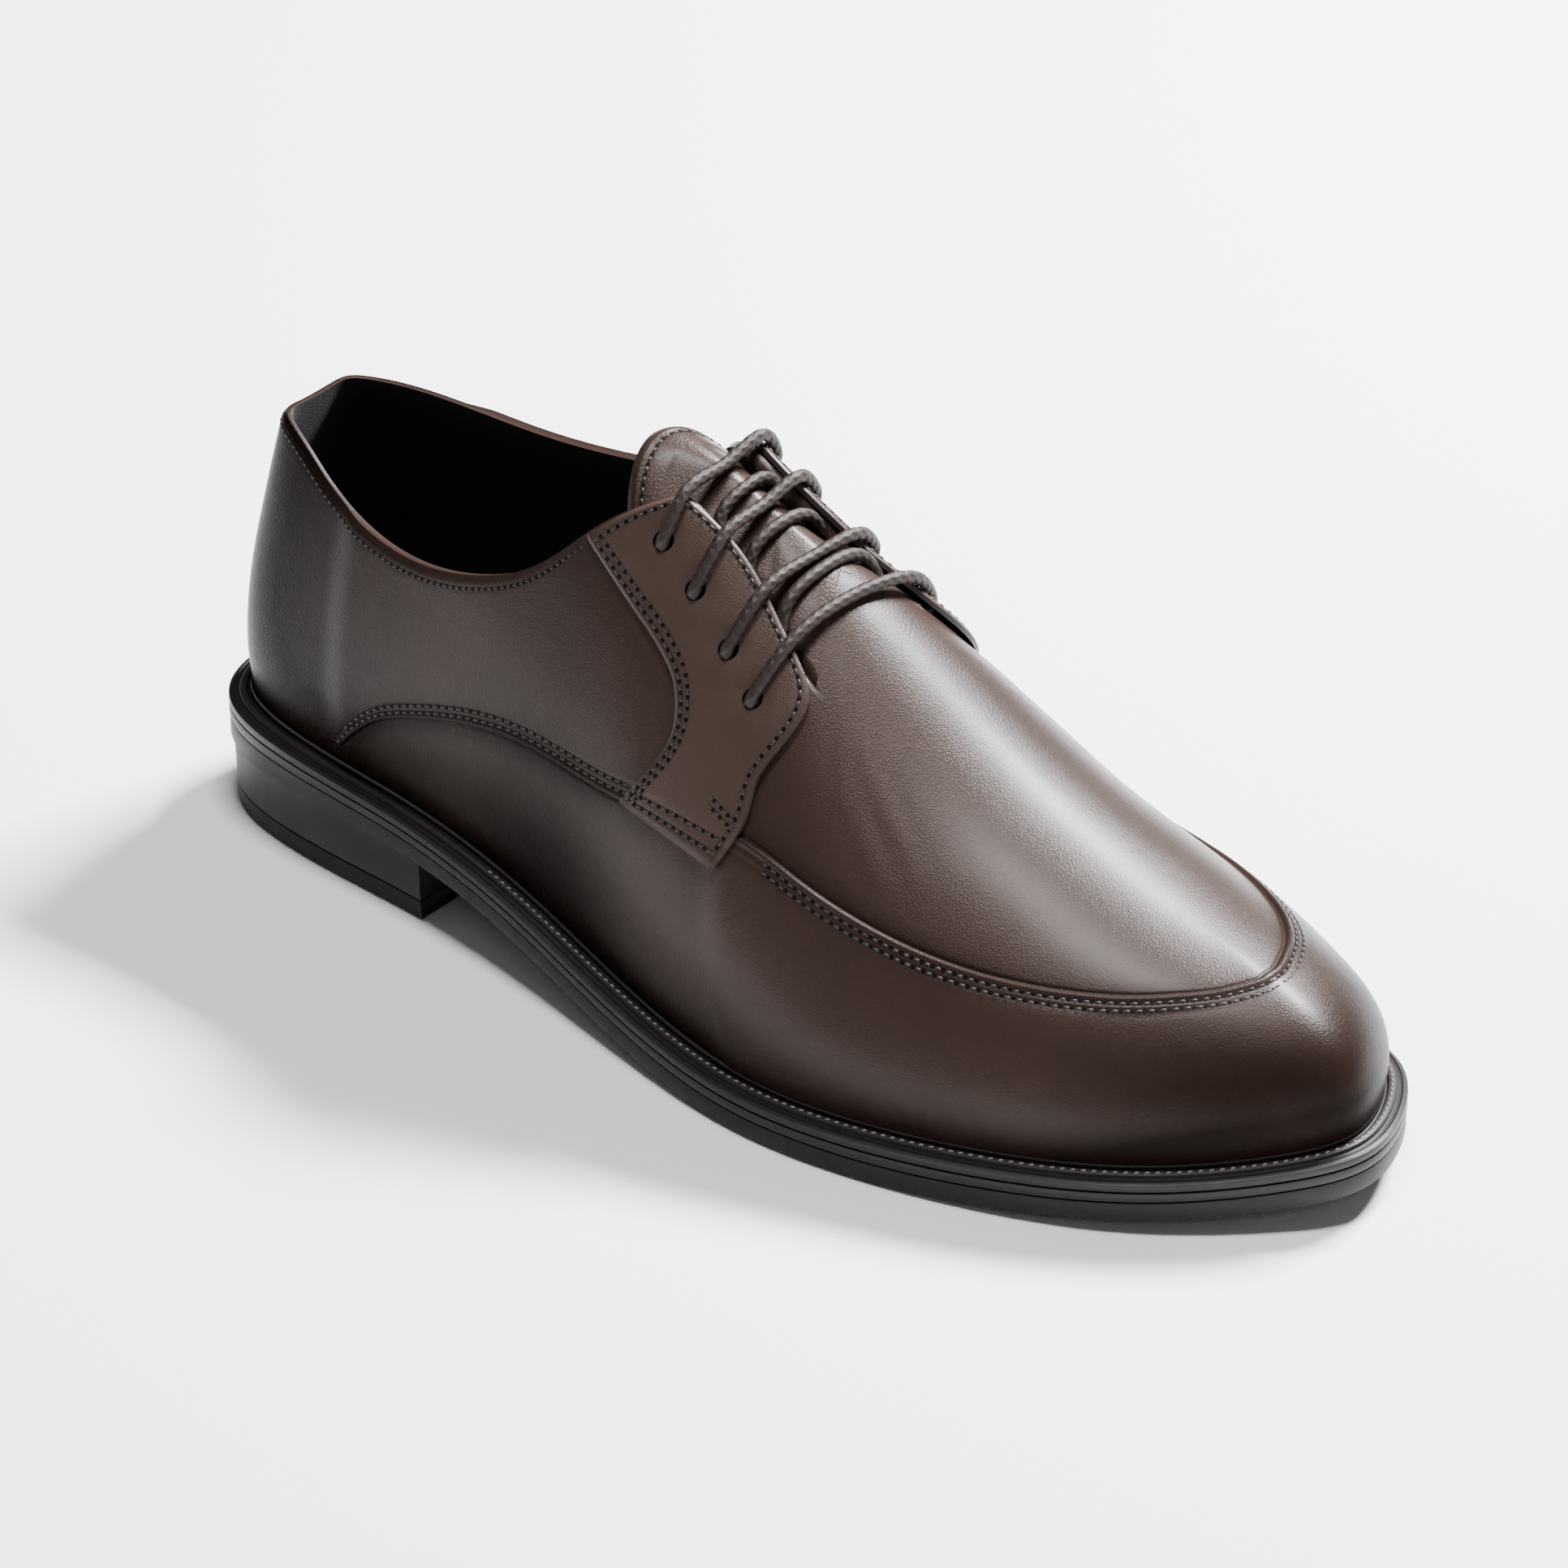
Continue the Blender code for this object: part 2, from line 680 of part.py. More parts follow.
def eyelet_cutter():
    """Round punches through the eyestays and the upper, one for each eyelet."""
    work = bmesh.new()
    radius = EYELET_RADIUS * MM
    for s, v, medial_s, medial_v, _, _, _ in EYELETS:
        for r, height in ((s, v), (2.0 - medial_s, medial_v)):
            centre, axis = eyelet_frame(r, height)
            place = mathutils.Matrix.Translation((centre - CENTRE) * MM)
            bmesh.ops.create_cone(
                work, cap_ends=True, segments=EYELET_SIDES, radius1=radius, radius2=radius,
                depth=PUNCH_LENGTH * MM, matrix=place @ turn_to(axis),
            )
    mesh = bpy.data.meshes.new("eyelet_punch")
    work.to_mesh(mesh)
    work.free()
    punch = bpy.data.objects.new("eyelet_punch", mesh)
    bpy.context.scene.collection.objects.link(punch)
    punch.hide_render = True
    punch.display_type = "WIRE"
    return punch


def cut(target, cutter):
    """Boolean difference kept on the object."""
    change = target.modifiers.new("eyelets", "BOOLEAN")
    change.operation = "DIFFERENCE"
    change.object = cutter


def build_upper(look, punch):
    """One hollow shell, open at the collar, at the throat and underneath."""
    points, numbers, edge_row, top_row = upper_grid()
    faces = skin_faces(numbers, edge_row, top_row)
    solid_points, solid_faces = thicken(points, faces, WALL)
    made = add_object("upper", solid_points, solid_faces, look, 30.0)
    cut(made, punch)
    return made


def build_eyestay(name, medial, look, punch):
    """Facing piece that lies on the quarter and the vamp, with four eyelets."""
    rear_s = smooth_line(EYESTAY, EYESTAY_COLUMNS, "rear s")
    rear_v = smooth_line(EYESTAY, EYESTAY_COLUMNS, "rear v")
    front_s = smooth_line(EYESTAY, EYESTAY_COLUMNS, "front s")
    side = "medial" if medial else "lateral"
    front_v = smooth_line(EYESTAY, EYESTAY_COLUMNS, side + " front v")
    down = np.linspace(0.0, 1.0, 15)
    over = np.linspace(0.0, 1.0, 5)
    points = []
    faces = []
    for t in down:
        for w in over:
            s = (1.0 - w) * rear_s(t) + w * front_s(t)
            v = (1.0 - w) * rear_v(t) + w * front_v(t)
            r = 2.0 - s if medial else s
            points.append(last_offset(np.array(r), np.array(v), np.array(EYESTAY_OVER)))
    across = len(over)
    for i in range(len(down) - 1):
        for k in range(across - 1):
            a = i * across + k
            face = (a, a + across, a + across + 1, a + 1)
            faces.append(tuple(reversed(face)) if medial else face)
    solid_points, solid_faces = thicken(points, faces, EYESTAY_OVER - EYESTAY_UNDER)
    made = add_object(name, solid_points, solid_faces, look, 30.0)
    cut(made, punch)
    return made


TONGUE_THICKNESS = 2.2
TONGUE_UNDER = 0.5
TONGUE_FRONT = 0.668
TONGUE_TOP_EDGE = 0.405
TONGUE_TOP_BOW = 0.072
TONGUE_EDGE_LOW = 0.58
TONGUE_EDGE_HIGH = 0.70
TONGUE_ARCH_V = 0.80
TONGUE_SIDE_ROWS = 4
TONGUE_ARCH_ROWS = 6


def tongue_half(s, edge_v, medial):
    """Points of one side of the tongue's section, from its edge up to where its arch begins."""
    heights = np.linspace(edge_v, TONGUE_ARCH_V, TONGUE_SIDE_ROWS)
    points = []
    for k, v in enumerate(heights):
        place = s(k / (2.0 * (TONGUE_SIDE_ROWS - 1)))
        r = 2.0 - place if medial else place
        points.append(last_offset(np.array(r), np.array(v), np.array(-WALL - TONGUE_UNDER)))
    return points


def tongue_section(s, edge_v, crest):
    """The tongue's outer section: two sides on the last and an arch between them over the crest."""
    left = tongue_half(s, edge_v, False)
    right = tongue_half(s, edge_v, True)
    left_way = left[-1] - left[-2]
    right_way = right[-1] - right[-2]
    left_way = left_way / np.linalg.norm(left_way)
    right_way = right_way / np.linalg.norm(right_way)
    middle = (left[-1] + right[-1]) / 2.0
    reach = (crest[2] - middle[2]) / (0.375 * (left_way[2] + right_way[2]))
    to_crest = (crest - middle - 0.375 * reach * (left_way + right_way)) / 0.75
    left_hold = left[-1] + reach * left_way + to_crest
    right_hold = right[-1] + reach * right_way + to_crest
    arch = []
    for t in np.linspace(0.0, 1.0, TONGUE_ARCH_ROWS + 1)[1:-1]:
        u = 1.0 - t
        start = u**3 * left[-1] + 3.0 * u**2 * t * left_hold
        end = 3.0 * u * t**2 * right_hold + t**3 * right[-1]
        arch.append(start + end)
    return left + arch + right[::-1]


def build_tongue(look):
    """Tongue: it starts under the vamp and follows the last up between the facings."""
    points = []
    lengths = np.linspace(0.0, 1.0, 13)
    for u in lengths:
        edge_v = TONGUE_EDGE_LOW + (TONGUE_EDGE_HIGH - TONGUE_EDGE_LOW) * u

        def place(w, u=u):
            top_s = TONGUE_TOP_EDGE + TONGUE_TOP_BOW * (2.0 * w) ** 0.7
            return TONGUE_FRONT + (top_s - TONGUE_FRONT) * u

        ridge_x = float(SECTION_TOP_X(place(0.5)))
        crest_z = float(RIDGE_Z(ridge_x)) - WALL - TONGUE_UNDER
        crest = np.array([ridge_x, float(RIDGE_Y(ridge_x)), crest_z])
        points.extend(tongue_section(place, edge_v, crest))
    across = len(points) // len(lengths)
    faces = []
    for i in range(len(lengths) - 1):
        for k in range(across - 1):
            a = i * across + k
            faces.append((a, a + 1, a + across + 1, a + across))
    solid_points, solid_faces = thicken(points, faces, TONGUE_THICKNESS)
    return add_object("tongue", solid_points, solid_faces, look, 30.0)


LACE_SIDES = 8
LACE_POINTS = 14
LACE_CLEAR = 0.03
LACE_LIFT = 0.9


def tube(points, radius, sides):
    """A round closed tube along points, with flat ends."""
    points = np.array(points)
    ahead = np.gradient(points, axis=0)
    ahead = ahead / np.linalg.norm(ahead, axis=1, keepdims=True)
    side = np.cross(ahead, np.array([1.0, 0.0, 0.4]))
    side = side / np.linalg.norm(side, axis=1, keepdims=True)
    other = np.cross(ahead, side)
    skin = []
    for k in range(len(points)):
        for a in range(sides):
            angle = 2.0 * math.pi * a / sides
            skin.append(points[k] + radius * (math.cos(angle) * side[k] + math.sin(angle) * other[k]))
    faces = []
    for k in range(len(points) - 1):
        faces.extend(ring_faces(k * sides, (k + 1) * sides, sides))
    faces.append(tuple(range(sides)))
    faces.append(tuple(reversed(range((len(points) - 1) * sides, len(points) * sides))))
    return skin, faces


def smooth_path(stops, count):
    """Points of a smooth curve through a few stops."""
    stops = np.array(stops)
    steps = np.linalg.norm(np.diff(stops, axis=0), axis=1)
    reach = np.concatenate([[0.0], np.cumsum(steps)])
    columns = ("way", "x", "y", "z")
    rows = [(reach[k], *stops[k]) for k in range(len(stops))]
    places = np.linspace(0.0, reach[-1], count)
    return np.stack([smooth_line(rows, columns, axis)(places) for axis in "xyz"], -1)


def on_last(s, v, medial, height):
    """A point off the last on one side of the shoe."""
    r = 2.0 - s if medial else s
    return last_offset(np.array(r), np.array(v), np.array(height))


def over_ridge(left, right, height):
    """The middle of a crossing: on the chord, but never lower than a height over the ridge."""
    middle = (left + right) / 2.0
    ridge = float(RIDGE_Z(middle[0])) + height
    return np.array([middle[0], middle[1], max(middle[2], ridge)])


def build_lace(look):
    """Four bars over the facings and three crossings under them, each a closed round piece."""
    over = EYESTAY_OVER + LACE_LIFT + LACE_RADIUS
    for k, (s, v, medial_s, medial_v, left_s, right_s, over_crest) in enumerate(EYELETS):
        left_edge = on_last(left_s, topline_v(left_s), False, over)
        right_edge = on_last(right_s, topline_v(2.0 - right_s), True, over)
        stops = [
            on_last(s, v, False, over),
            left_edge,
            over_ridge(left_edge, right_edge, over_crest),
            right_edge,
            on_last(medial_s, medial_v, True, over),
        ]
        skin, faces = tube(smooth_path(stops, LACE_POINTS), LACE_RADIUS, LACE_SIDES)
        add_object("lace_bar_%d" % (k + 1), skin, faces, look, 50.0)
    under = -WALL - TONGUE_UNDER + LACE_LIFT + LACE_RADIUS
    for k, s in enumerate(UNDER_CROSSINGS):
        left_edge = on_last(s, topline_v(s) + LACE_CLEAR, False, under)
        right_edge = on_last(s, topline_v(2.0 - s) + LACE_CLEAR, True, under)
        stops = [left_edge, over_ridge(left_edge, right_edge, under), right_edge]
        skin, faces = tube(smooth_path(stops, LACE_POINTS // 2), LACE_RADIUS, LACE_SIDES)
        add_object("lace_under_%d" % (k + 1), skin, faces, look, 50.0)


def remove_all():
    """Start from an empty scene."""
    for item in list(bpy.data.objects):
        bpy.data.objects.remove(item, do_unlink=True)


def build():
    """Make every piece."""
    remove_all()
    leather = material("upper leather", (0.055, 0.036, 0.030), 0.38)
    facing = material("eyestay leather", (0.058, 0.038, 0.032), 0.38)
    tongue = material("tongue leather", (0.055, 0.036, 0.030), 0.36)
    edge = material("sole edge", (0.060, 0.050, 0.045), 0.5)
    rubber = material("sole rubber", (0.075, 0.065, 0.060), 0.6)
    lift = material("top lift rubber", (0.040, 0.036, 0.034), 0.65)
    lining = material("insole leather", (0.020, 0.018, 0.018), 0.8)
    lace = material("lace cord", (0.085, 0.062, 0.052), 0.7)
    punch = eyelet_cutter()
    build_sole(rubber, edge, lift)
    build_insole(lining)
    build_upper(leather, punch)
    build_eyestay("eyestay_lateral", False, facing, punch)
    build_eyestay("eyestay_medial", True, facing, punch)
    build_tongue(tongue)
    build_lace(lace)


build()
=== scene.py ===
"""Looks of the apron toe derby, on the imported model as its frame.

Tables are in millimetres, as in the part's source: x = 0 at the back of the heel, x towards the
toe, y towards the inner side, z up from the ground. Objects are in metres in the model's frame.
"""

import math

import bmesh
import bpy
import mathutils
import numpy as np
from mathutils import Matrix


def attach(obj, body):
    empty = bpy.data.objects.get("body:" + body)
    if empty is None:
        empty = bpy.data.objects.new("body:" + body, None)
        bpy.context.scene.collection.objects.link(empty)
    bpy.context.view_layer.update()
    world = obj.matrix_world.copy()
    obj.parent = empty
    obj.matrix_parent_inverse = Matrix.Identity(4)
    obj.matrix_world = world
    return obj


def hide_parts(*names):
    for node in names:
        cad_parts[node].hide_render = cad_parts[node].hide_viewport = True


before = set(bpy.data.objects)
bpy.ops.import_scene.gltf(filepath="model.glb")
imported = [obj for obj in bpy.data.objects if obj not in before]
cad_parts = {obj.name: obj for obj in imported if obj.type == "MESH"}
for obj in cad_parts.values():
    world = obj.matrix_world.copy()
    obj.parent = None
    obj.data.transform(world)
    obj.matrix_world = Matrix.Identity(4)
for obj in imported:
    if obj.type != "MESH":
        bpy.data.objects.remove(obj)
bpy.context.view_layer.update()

MM = 0.001

# Driving dimensions, in millimetres
WALL = 2.0
GAP = 0.3
LEDGE_INSET = 6.0
FEATHER_UP = 1.6
HEEL_LENGTH = 75.0
TOP_LIFT = 4.7
HEEL_BLOCK_INSET = 0.9
TOP_LIFT_INSET = 1.3
LAST_CONE_LATERAL = 15.0
LAST_CONE_MEDIAL = 19.0
CONE_MIDDLE = 0.28
CONE_BLUR = 0.048
CONE_SAMPLES = 97
CONE_SOFT_FROM = 0.36
CONE_SOFT_TO = 0.46
EYELET_HOLE = 2.2
EYELET_OVAL = 1.12
PUNCH_DEPTH = 16.0
PUNCH_SIDES = 28
LACE_RADIUS = 1.4
THROAT = 0.642

# Plan of the sole's edge. s runs from the heel back (0) to the toe tip (1) on both sides
SOLE_COLUMNS = ("s", "lateral x", "lateral y", "medial x", "medial y")
SOLE_PLAN = [
    (0.00, 0.0, 0.0, 0.0, 0.0),
    (0.08, 8.0, -20.5, 8.0, 22.5),
    (0.16, 30.0, -29.5, 30.0, 33.5),
    (0.28, 68.0, -34.0, 68.0, 36.0),
    (0.41, 112.0, -41.5, 112.0, 32.5),
    (0.52, 150.0, -51.0, 150.0, 34.5),
    (0.63, 186.0, -57.0, 186.0, 43.5),
    (0.72, 216.0, -54.5, 218.0, 50.5),
    (0.81, 246.0, -46.5, 250.0, 50.5),
    (0.90, 274.0, -32.5, 278.0, 41.0),
    (0.96, 294.0, -15.5, 296.0, 25.5),
    (1.00, 304.0, 2.0, 304.0, 2.0),
]

# Side view of the sole: height of the ledge at its rim and height of the underside
SIDE_COLUMNS = ("x", "rim z", "underside z")
SOLE_SIDE = [
    (0.0, 27.5, 17.0),
    (30.0, 26.0, 16.7),
    (70.0, 23.5, 15.5),
    (100.0, 19.5, 11.5),
    (135.0, 13.0, 4.5),
    (165.0, 9.6, 0.6),
    (195.0, 9.0, 0.0),
    (215.0, 9.4, 0.0),
    (240.0, 10.2, 1.0),
    (265.0, 11.4, 2.6),
    (290.0, 13.6, 4.8),
    (304.0, 16.0, 7.0),
]

# Sections of the last. Each runs up from the feather line to the ridge of the instep as one cubic
# curve: where it meets the ridge, how far it leaves the feather line outwards on each side and
# upwards, and how wide and how far down its upper end is held
LAST_COLUMNS = (
    "s", "ridge x", "lateral out", "medial out", "up", "lateral width", "medial width", "drop",
)
LAST_SECTIONS = [
    (0.00, 17.0, 5.0, 5.0, 22.0, 3.0, 3.0, -22.0),
    (0.08, 20.0, 5.0, 5.0, 22.0, 4.0, 4.0, -22.0),
    (0.16, 34.0, 6.0, 6.0, 22.0, 6.0, 6.0, -24.0),
    (0.28, 66.0, 6.0, 6.0, 22.0, 10.0, 10.0, -26.0),
    (0.41, 100.0, 6.0, 8.0, 24.0, 12.0, 16.0, -20.0),
    (0.52, 124.0, 8.0, 12.0, 26.0, 16.0, 21.0, -10.0),
    (0.63, 156.0, 8.0, 15.0, 27.0, 23.0, 39.0, 0.0),
    (0.72, 190.0, 7.0, 10.0, 24.0, 28.0, 33.0, 0.0),
    (0.81, 222.0, 6.0, 8.0, 22.0, 27.0, 28.0, 0.0),
    (0.90, 246.0, 5.0, 6.0, 20.0, 25.0, 26.0, 0.0),
    (0.96, 257.0, 5.0, 5.0, 19.0, 24.0, 24.0, 0.0),
    (1.00, 261.0, 5.0, 5.0, 19.0, 24.0, 24.0, 0.0),
]

# Ridge of the instep
RIDGE_COLUMNS = ("x", "y", "z")
RIDGE = [
    (10.0, 0.0, 102.0),
    (60.0, 0.5, 114.0),
    (105.0, 1.5, 124.0),
    (125.0, 2.5, 121.0),
    (155.0, 5.5, 104.0),
    (185.0, 7.0, 84.0),
    (212.0, 6.5, 68.5),
    (238.0, 5.0, 57.5),
    (262.0, 4.0, 49.5),
    (290.0, 3.5, 42.0),
]

# Height of the upper's top edge: collar, front corner of the facing, edge of the facing
TOPLINE_COLUMNS = ("s", "lateral z", "medial z")
TOPLINE = [
    (0.000, 97.5, 97.5),
    (0.050, 98.0, 98.0),
    (0.100, 97.0, 97.5),
    (0.140, 94.5, 97.0),
    (0.180, 90.0, 96.0),
    (0.220, 86.0, 94.5),
    (0.260, 83.8, 93.2),
    (0.300, 84.0, 93.0),
    (0.340, 86.7, 94.3),
    (0.380, 91.5, 97.5),
    (0.410, 97.0, 101.5),
    (0.440, 103.5, 106.0),
    (0.475, 109.5, 112.0),
    (0.505, 113.0, 115.0),
    (0.530, 114.5, 116.2),
    (0.555, 110.5, 112.8),
    (0.590, 101.5, 103.0),
    (0.620, 91.5, 94.0),
    (0.642, 85.0, 88.0),
]

# The seam round the shoe, as a height on the section from 0 at the sole to 1 at the ridge:
# the top of the mudguard behind, the edge of the apron in front
SEAM_COLUMNS = ("s", "v")
SEAM = [
    (0.20, 0.00),
    (0.22, 0.10),
    (0.245, 0.20),
    (0.285, 0.28),
    (0.32, 0.32),
    (0.39, 0.36),
    (0.50, 0.376),
    (0.56, 0.41),
    (0.61, 0.433),
    (0.65, 0.432),
    (0.72, 0.447),
    (0.78, 0.478),
    (0.815, 0.506),
    (0.85, 0.545),
    (0.885, 0.597),
    (0.915, 0.653),
    (0.945, 0.712),
    (0.970, 0.766),
    (0.985, 0.791),
    (1.00, 0.805),
]

# Eyestay: how far down it (0 to 1), s and height of its rear edge, s of its front edge and the
# height of that edge on each side
EYESTAY_COLUMNS = ("t", "rear s", "rear v", "front s", "lateral front v", "medial front v")
EYESTAY = [
    (0.00, 0.448, 0.755, 0.530, 0.880, 0.912),
    (0.14, 0.480, 0.695, 0.560, 0.850, 0.898),
    (0.28, 0.510, 0.644, 0.589, 0.810, 0.860),
    (0.40, 0.532, 0.603, 0.616, 0.758, 0.828),
    (0.50, 0.541, 0.574, 0.635, 0.722, 0.795),
    (0.60, 0.544, 0.538, 0.639, 0.674, 0.720),
    (0.72, 0.541, 0.500, 0.626, 0.590, 0.610),
    (0.84, 0.530, 0.460, 0.612, 0.510, 0.517),
    (0.93, 0.515, 0.420, 0.606, 0.446, 0.448),
    (1.00, 0.498, 0.376, 0.586, 0.362, 0.362),
]
EYESTAY_UNDER = 1.5
EYESTAY_OVER = 2.8

# Distances of the rows of stitches from the seam or edge that they follow
SEAM_ROWS = (1.75, 3.35)
FACING_ROWS = (1.6, 3.2)
FACING_FRONT_ROW = 1.7
FACING_TOP_ROW = 2.3
COLLAR_ROW = 2.6

# Eyelets from the top: s and height on the section on the lateral and on the medial side, where
# the lace's bar between them crosses the facings' edges (s, lateral and medial) and how far it
# stays over the ridge
EYELETS = [
    (0.520, 0.781, 0.514, 0.828, 0.533, 0.529, -0.5),
    (0.549, 0.724, 0.548, 0.798, 0.566, 0.564, -0.5),
    (0.579, 0.667, 0.583, 0.754, 0.598, 0.599, 0.5),
    (0.602, 0.626, 0.614, 0.718, 0.622, 0.629, 2.0),
]

# Where the lace's three crossings under the facings leave the facings' edges
UNDER_CROSSINGS = [0.560, 0.585, 0.613]


def cubic_slopes(knots, values, period=None):
    """Second derivatives of the cubic spline through the values, closed when a period is given."""
    n = len(knots)
    matrix = np.eye(n)
    right = np.zeros(n)
    rows = range(n) if period else range(1, n - 1)
    for i in rows:
        if period:
            before = (knots[i] - knots[i - 1]) % period
            after = (knots[(i + 1) % n] - knots[i]) % period
        else:
            before = knots[i] - knots[i - 1]
            after = knots[i + 1] - knots[i]
        matrix[i, i] = 2.0 * (before + after)
        matrix[i, i - 1] += before
        matrix[i, (i + 1) % n] += after
        rise = (values[(i + 1) % n] - values[i]) / after
        fall = (values[i] - values[i - 1]) / before
        right[i] = 6.0 * (rise - fall)
    return np.linalg.solve(matrix, right)


def smooth_line(table, columns, name, period=None):
    """A smooth function through the named column of a table whose first column is its argument."""
    column = columns.index(name)
    knots = np.array([row[0] for row in table])
    values = np.array([row[column] for row in table])
    bends = cubic_slopes(knots, values, period)
    n = len(knots)

    def at(t):
        t = np.asarray(t, float)
        t = (t - knots[0]) % period + knots[0] if period else np.clip(t, knots[0], knots[-1])
        last_start = n - 1 if period else n - 2
        i = np.clip(np.searchsorted(knots, t, side="right") - 1, 0, last_start)
        j = (i + 1) % n
        width = (knots[j] - knots[i]) % period if period else knots[j] - knots[i]
        ahead = t - knots[i]
        left = width - ahead
        curve = (bends[i] * left**3 + bends[j] * ahead**3) / (6.0 * width)
        start = (values[i] / width - bends[i] * width / 6.0) * left
        end = (values[j] / width - bends[j] * width / 6.0) * ahead
        return curve + start + end

    return at


def round_shoe(table, columns, lateral, medial):
    """A smooth function of r: 0 to 1 up the lateral side, 1 to 2 back down the medial side."""
    there = [(row[0], row[columns.index(lateral)]) for row in table]
    back = [(2.0 - row[0], row[columns.index(medial)]) for row in table[-2:0:-1]]
    return smooth_line(there + back, ("r", "value"), "value", 2.0)


SOLE_X = round_shoe(SOLE_PLAN, SOLE_COLUMNS, "lateral x", "medial x")
SOLE_Y = round_shoe(SOLE_PLAN, SOLE_COLUMNS, "lateral y", "medial y")
RIM_Z = smooth_line(SOLE_SIDE, SIDE_COLUMNS, "rim z")
UNDERSIDE = smooth_line(SOLE_SIDE, SIDE_COLUMNS, "underside z")
RIDGE_Y = smooth_line(RIDGE, RIDGE_COLUMNS, "y")
RIDGE_Z = smooth_line(RIDGE, RIDGE_COLUMNS, "z")
SECTION_TOP_X = round_shoe(LAST_SECTIONS, LAST_COLUMNS, "ridge x", "ridge x")
SECTION_OUT = round_shoe(LAST_SECTIONS, LAST_COLUMNS, "lateral out", "medial out")
SECTION_UP = round_shoe(LAST_SECTIONS, LAST_COLUMNS, "up", "up")
SECTION_WIDTH = round_shoe(LAST_SECTIONS, LAST_COLUMNS, "lateral width", "medial width")
SECTION_DROP = round_shoe(LAST_SECTIONS, LAST_COLUMNS, "drop", "drop")
TOP_LATERAL = smooth_line(TOPLINE, TOPLINE_COLUMNS, "lateral z")
TOP_MEDIAL = smooth_line(TOPLINE, TOPLINE_COLUMNS, "medial z")
SEAM_HEIGHT = smooth_line(SEAM + [(2.0 - s, v) for s, v in SEAM[-2::-1]], SEAM_COLUMNS, "v")
STAY_REAR_S = smooth_line(EYESTAY, EYESTAY_COLUMNS, "rear s")
STAY_REAR_V = smooth_line(EYESTAY, EYESTAY_COLUMNS, "rear v")
STAY_FRONT_S = smooth_line(EYESTAY, EYESTAY_COLUMNS, "front s")
STAY_FRONT_V = {
    side: smooth_line(EYESTAY, EYESTAY_COLUMNS, side + " front v") for side in ("lateral", "medial")
}
LATERAL_EDGE = min(float(SOLE_Y(s)) for s in np.linspace(0.5, 0.8, 61))
MEDIAL_EDGE = max(float(SOLE_Y(2.0 - s)) for s in np.linspace(0.6, 0.9, 61))
CENTRE = np.array([SOLE_PLAN[-1][1] / 2.0, (LATERAL_EDGE + MEDIAL_EDGE) / 2.0, 0.0])


def ease(value, start, end):
    """0 before start, 1 after end, smooth between."""
    t = np.clip((np.asarray(value, float) - start) / (end - start), 0.0, 1.0)
    return t * t * (3.0 - 2.0 * t)


def unit(vectors):
    """Vectors made one long."""
    return vectors / np.linalg.norm(vectors, axis=-1, keepdims=True)


def step_lengths(points):
    """Distances from each point of a line to the next."""
    return np.linalg.norm(np.diff(points, axis=0), axis=1)


def along(r):
    """s of a place r round the shoe."""
    r = np.asarray(r, float) % 2.0
    return np.where(r <= 1.0, r, 2.0 - r)


def ring_place(s, medial):
    """The place r round the shoe of s on one of the two sides."""
    return 2.0 - s if medial else s


def underside_z(x):
    """Underside of the outsole: it stands flat on the ground under the ball."""
    return np.maximum(UNDERSIDE(x), 0.0)


def outward(r):
    """Unit direction in plan that points out of the sole at r."""
    step = 0.001
    dx = SOLE_X(r + step) - SOLE_X(r - step)
    dy = SOLE_Y(r + step) - SOLE_Y(r - step)
    length = np.hypot(dx, dy)
    return dy / length, -dx / length


def rim(r, inset):
    """Plan position a distance inside the sole's edge."""
    ox, oy = outward(r)
    return SOLE_X(r) - inset * ox, SOLE_Y(r) - inset * oy


def cone_ellipse(place):
    """Half width of an ellipse over the shoe's back, as a share."""
    return np.sqrt(np.clip(1.0 - ((place - CONE_MIDDLE) / CONE_MIDDLE) ** 2, 0.0, 1.0))


CONE_PLACES = np.linspace(0.30, 1.0, 701)
CONE_SOFT = sum(
    cone_ellipse(CONE_PLACES + step) for step in np.linspace(-CONE_BLUR, CONE_BLUR, CONE_SAMPLES)
) / CONE_SAMPLES
CONE_FRONT = ease(CONE_PLACES, CONE_SOFT_FROM, CONE_SOFT_TO)
CONE_SHARES = (1.0 - CONE_FRONT) * cone_ellipse(CONE_PLACES) + CONE_FRONT * CONE_SOFT


def cone_share(s):
    """How wide the last's open top is: an ellipse behind that runs out softly in front."""
    return np.where(s < CONE_SOFT_FROM, cone_ellipse(s), np.interp(s, CONE_PLACES, CONE_SHARES))


def last_point(r, v):
    """A point of the last's outside. v is 0 at the feather line and 1 at the ridge."""
    r, v = np.broadcast_arrays(np.asarray(r, float), np.asarray(v, float))
    s = along(r)
    medial = (r % 2.0) > 1.0
    ox, oy = outward(r)
    x0, y0 = rim(r, LEDGE_INSET)
    foot = np.stack([x0, y0, RIM_Z(SOLE_X(r)) + FEATHER_UP], -1)
    out = SECTION_OUT(r)
    lower = foot + np.stack([out * ox, out * oy, SECTION_UP(r)], -1)
    top_x = SECTION_TOP_X(r)
    half = np.where(medial, LAST_CONE_MEDIAL, -LAST_CONE_LATERAL) * cone_share(s)
    top = np.stack([top_x, RIDGE_Y(top_x) + half, RIDGE_Z(top_x)], -1)
    away = unit(foot[..., :2] - top[..., :2])
    width = SECTION_WIDTH(r)
    slope = RIDGE_Z(top_x + 0.5) - RIDGE_Z(top_x - 0.5)
    level = np.clip((s - 0.45) / 0.15, 0.0, 1.0)
    fall = SECTION_DROP(r) + away[..., 0] * width * slope * level
    upper = top + np.stack([away[..., 0] * width, away[..., 1] * width, fall], -1)
    a = v[..., None]
    b = 1.0 - a
    return b**3 * foot + 3.0 * b**2 * a * lower + 3.0 * b * a**2 * upper + a**3 * top


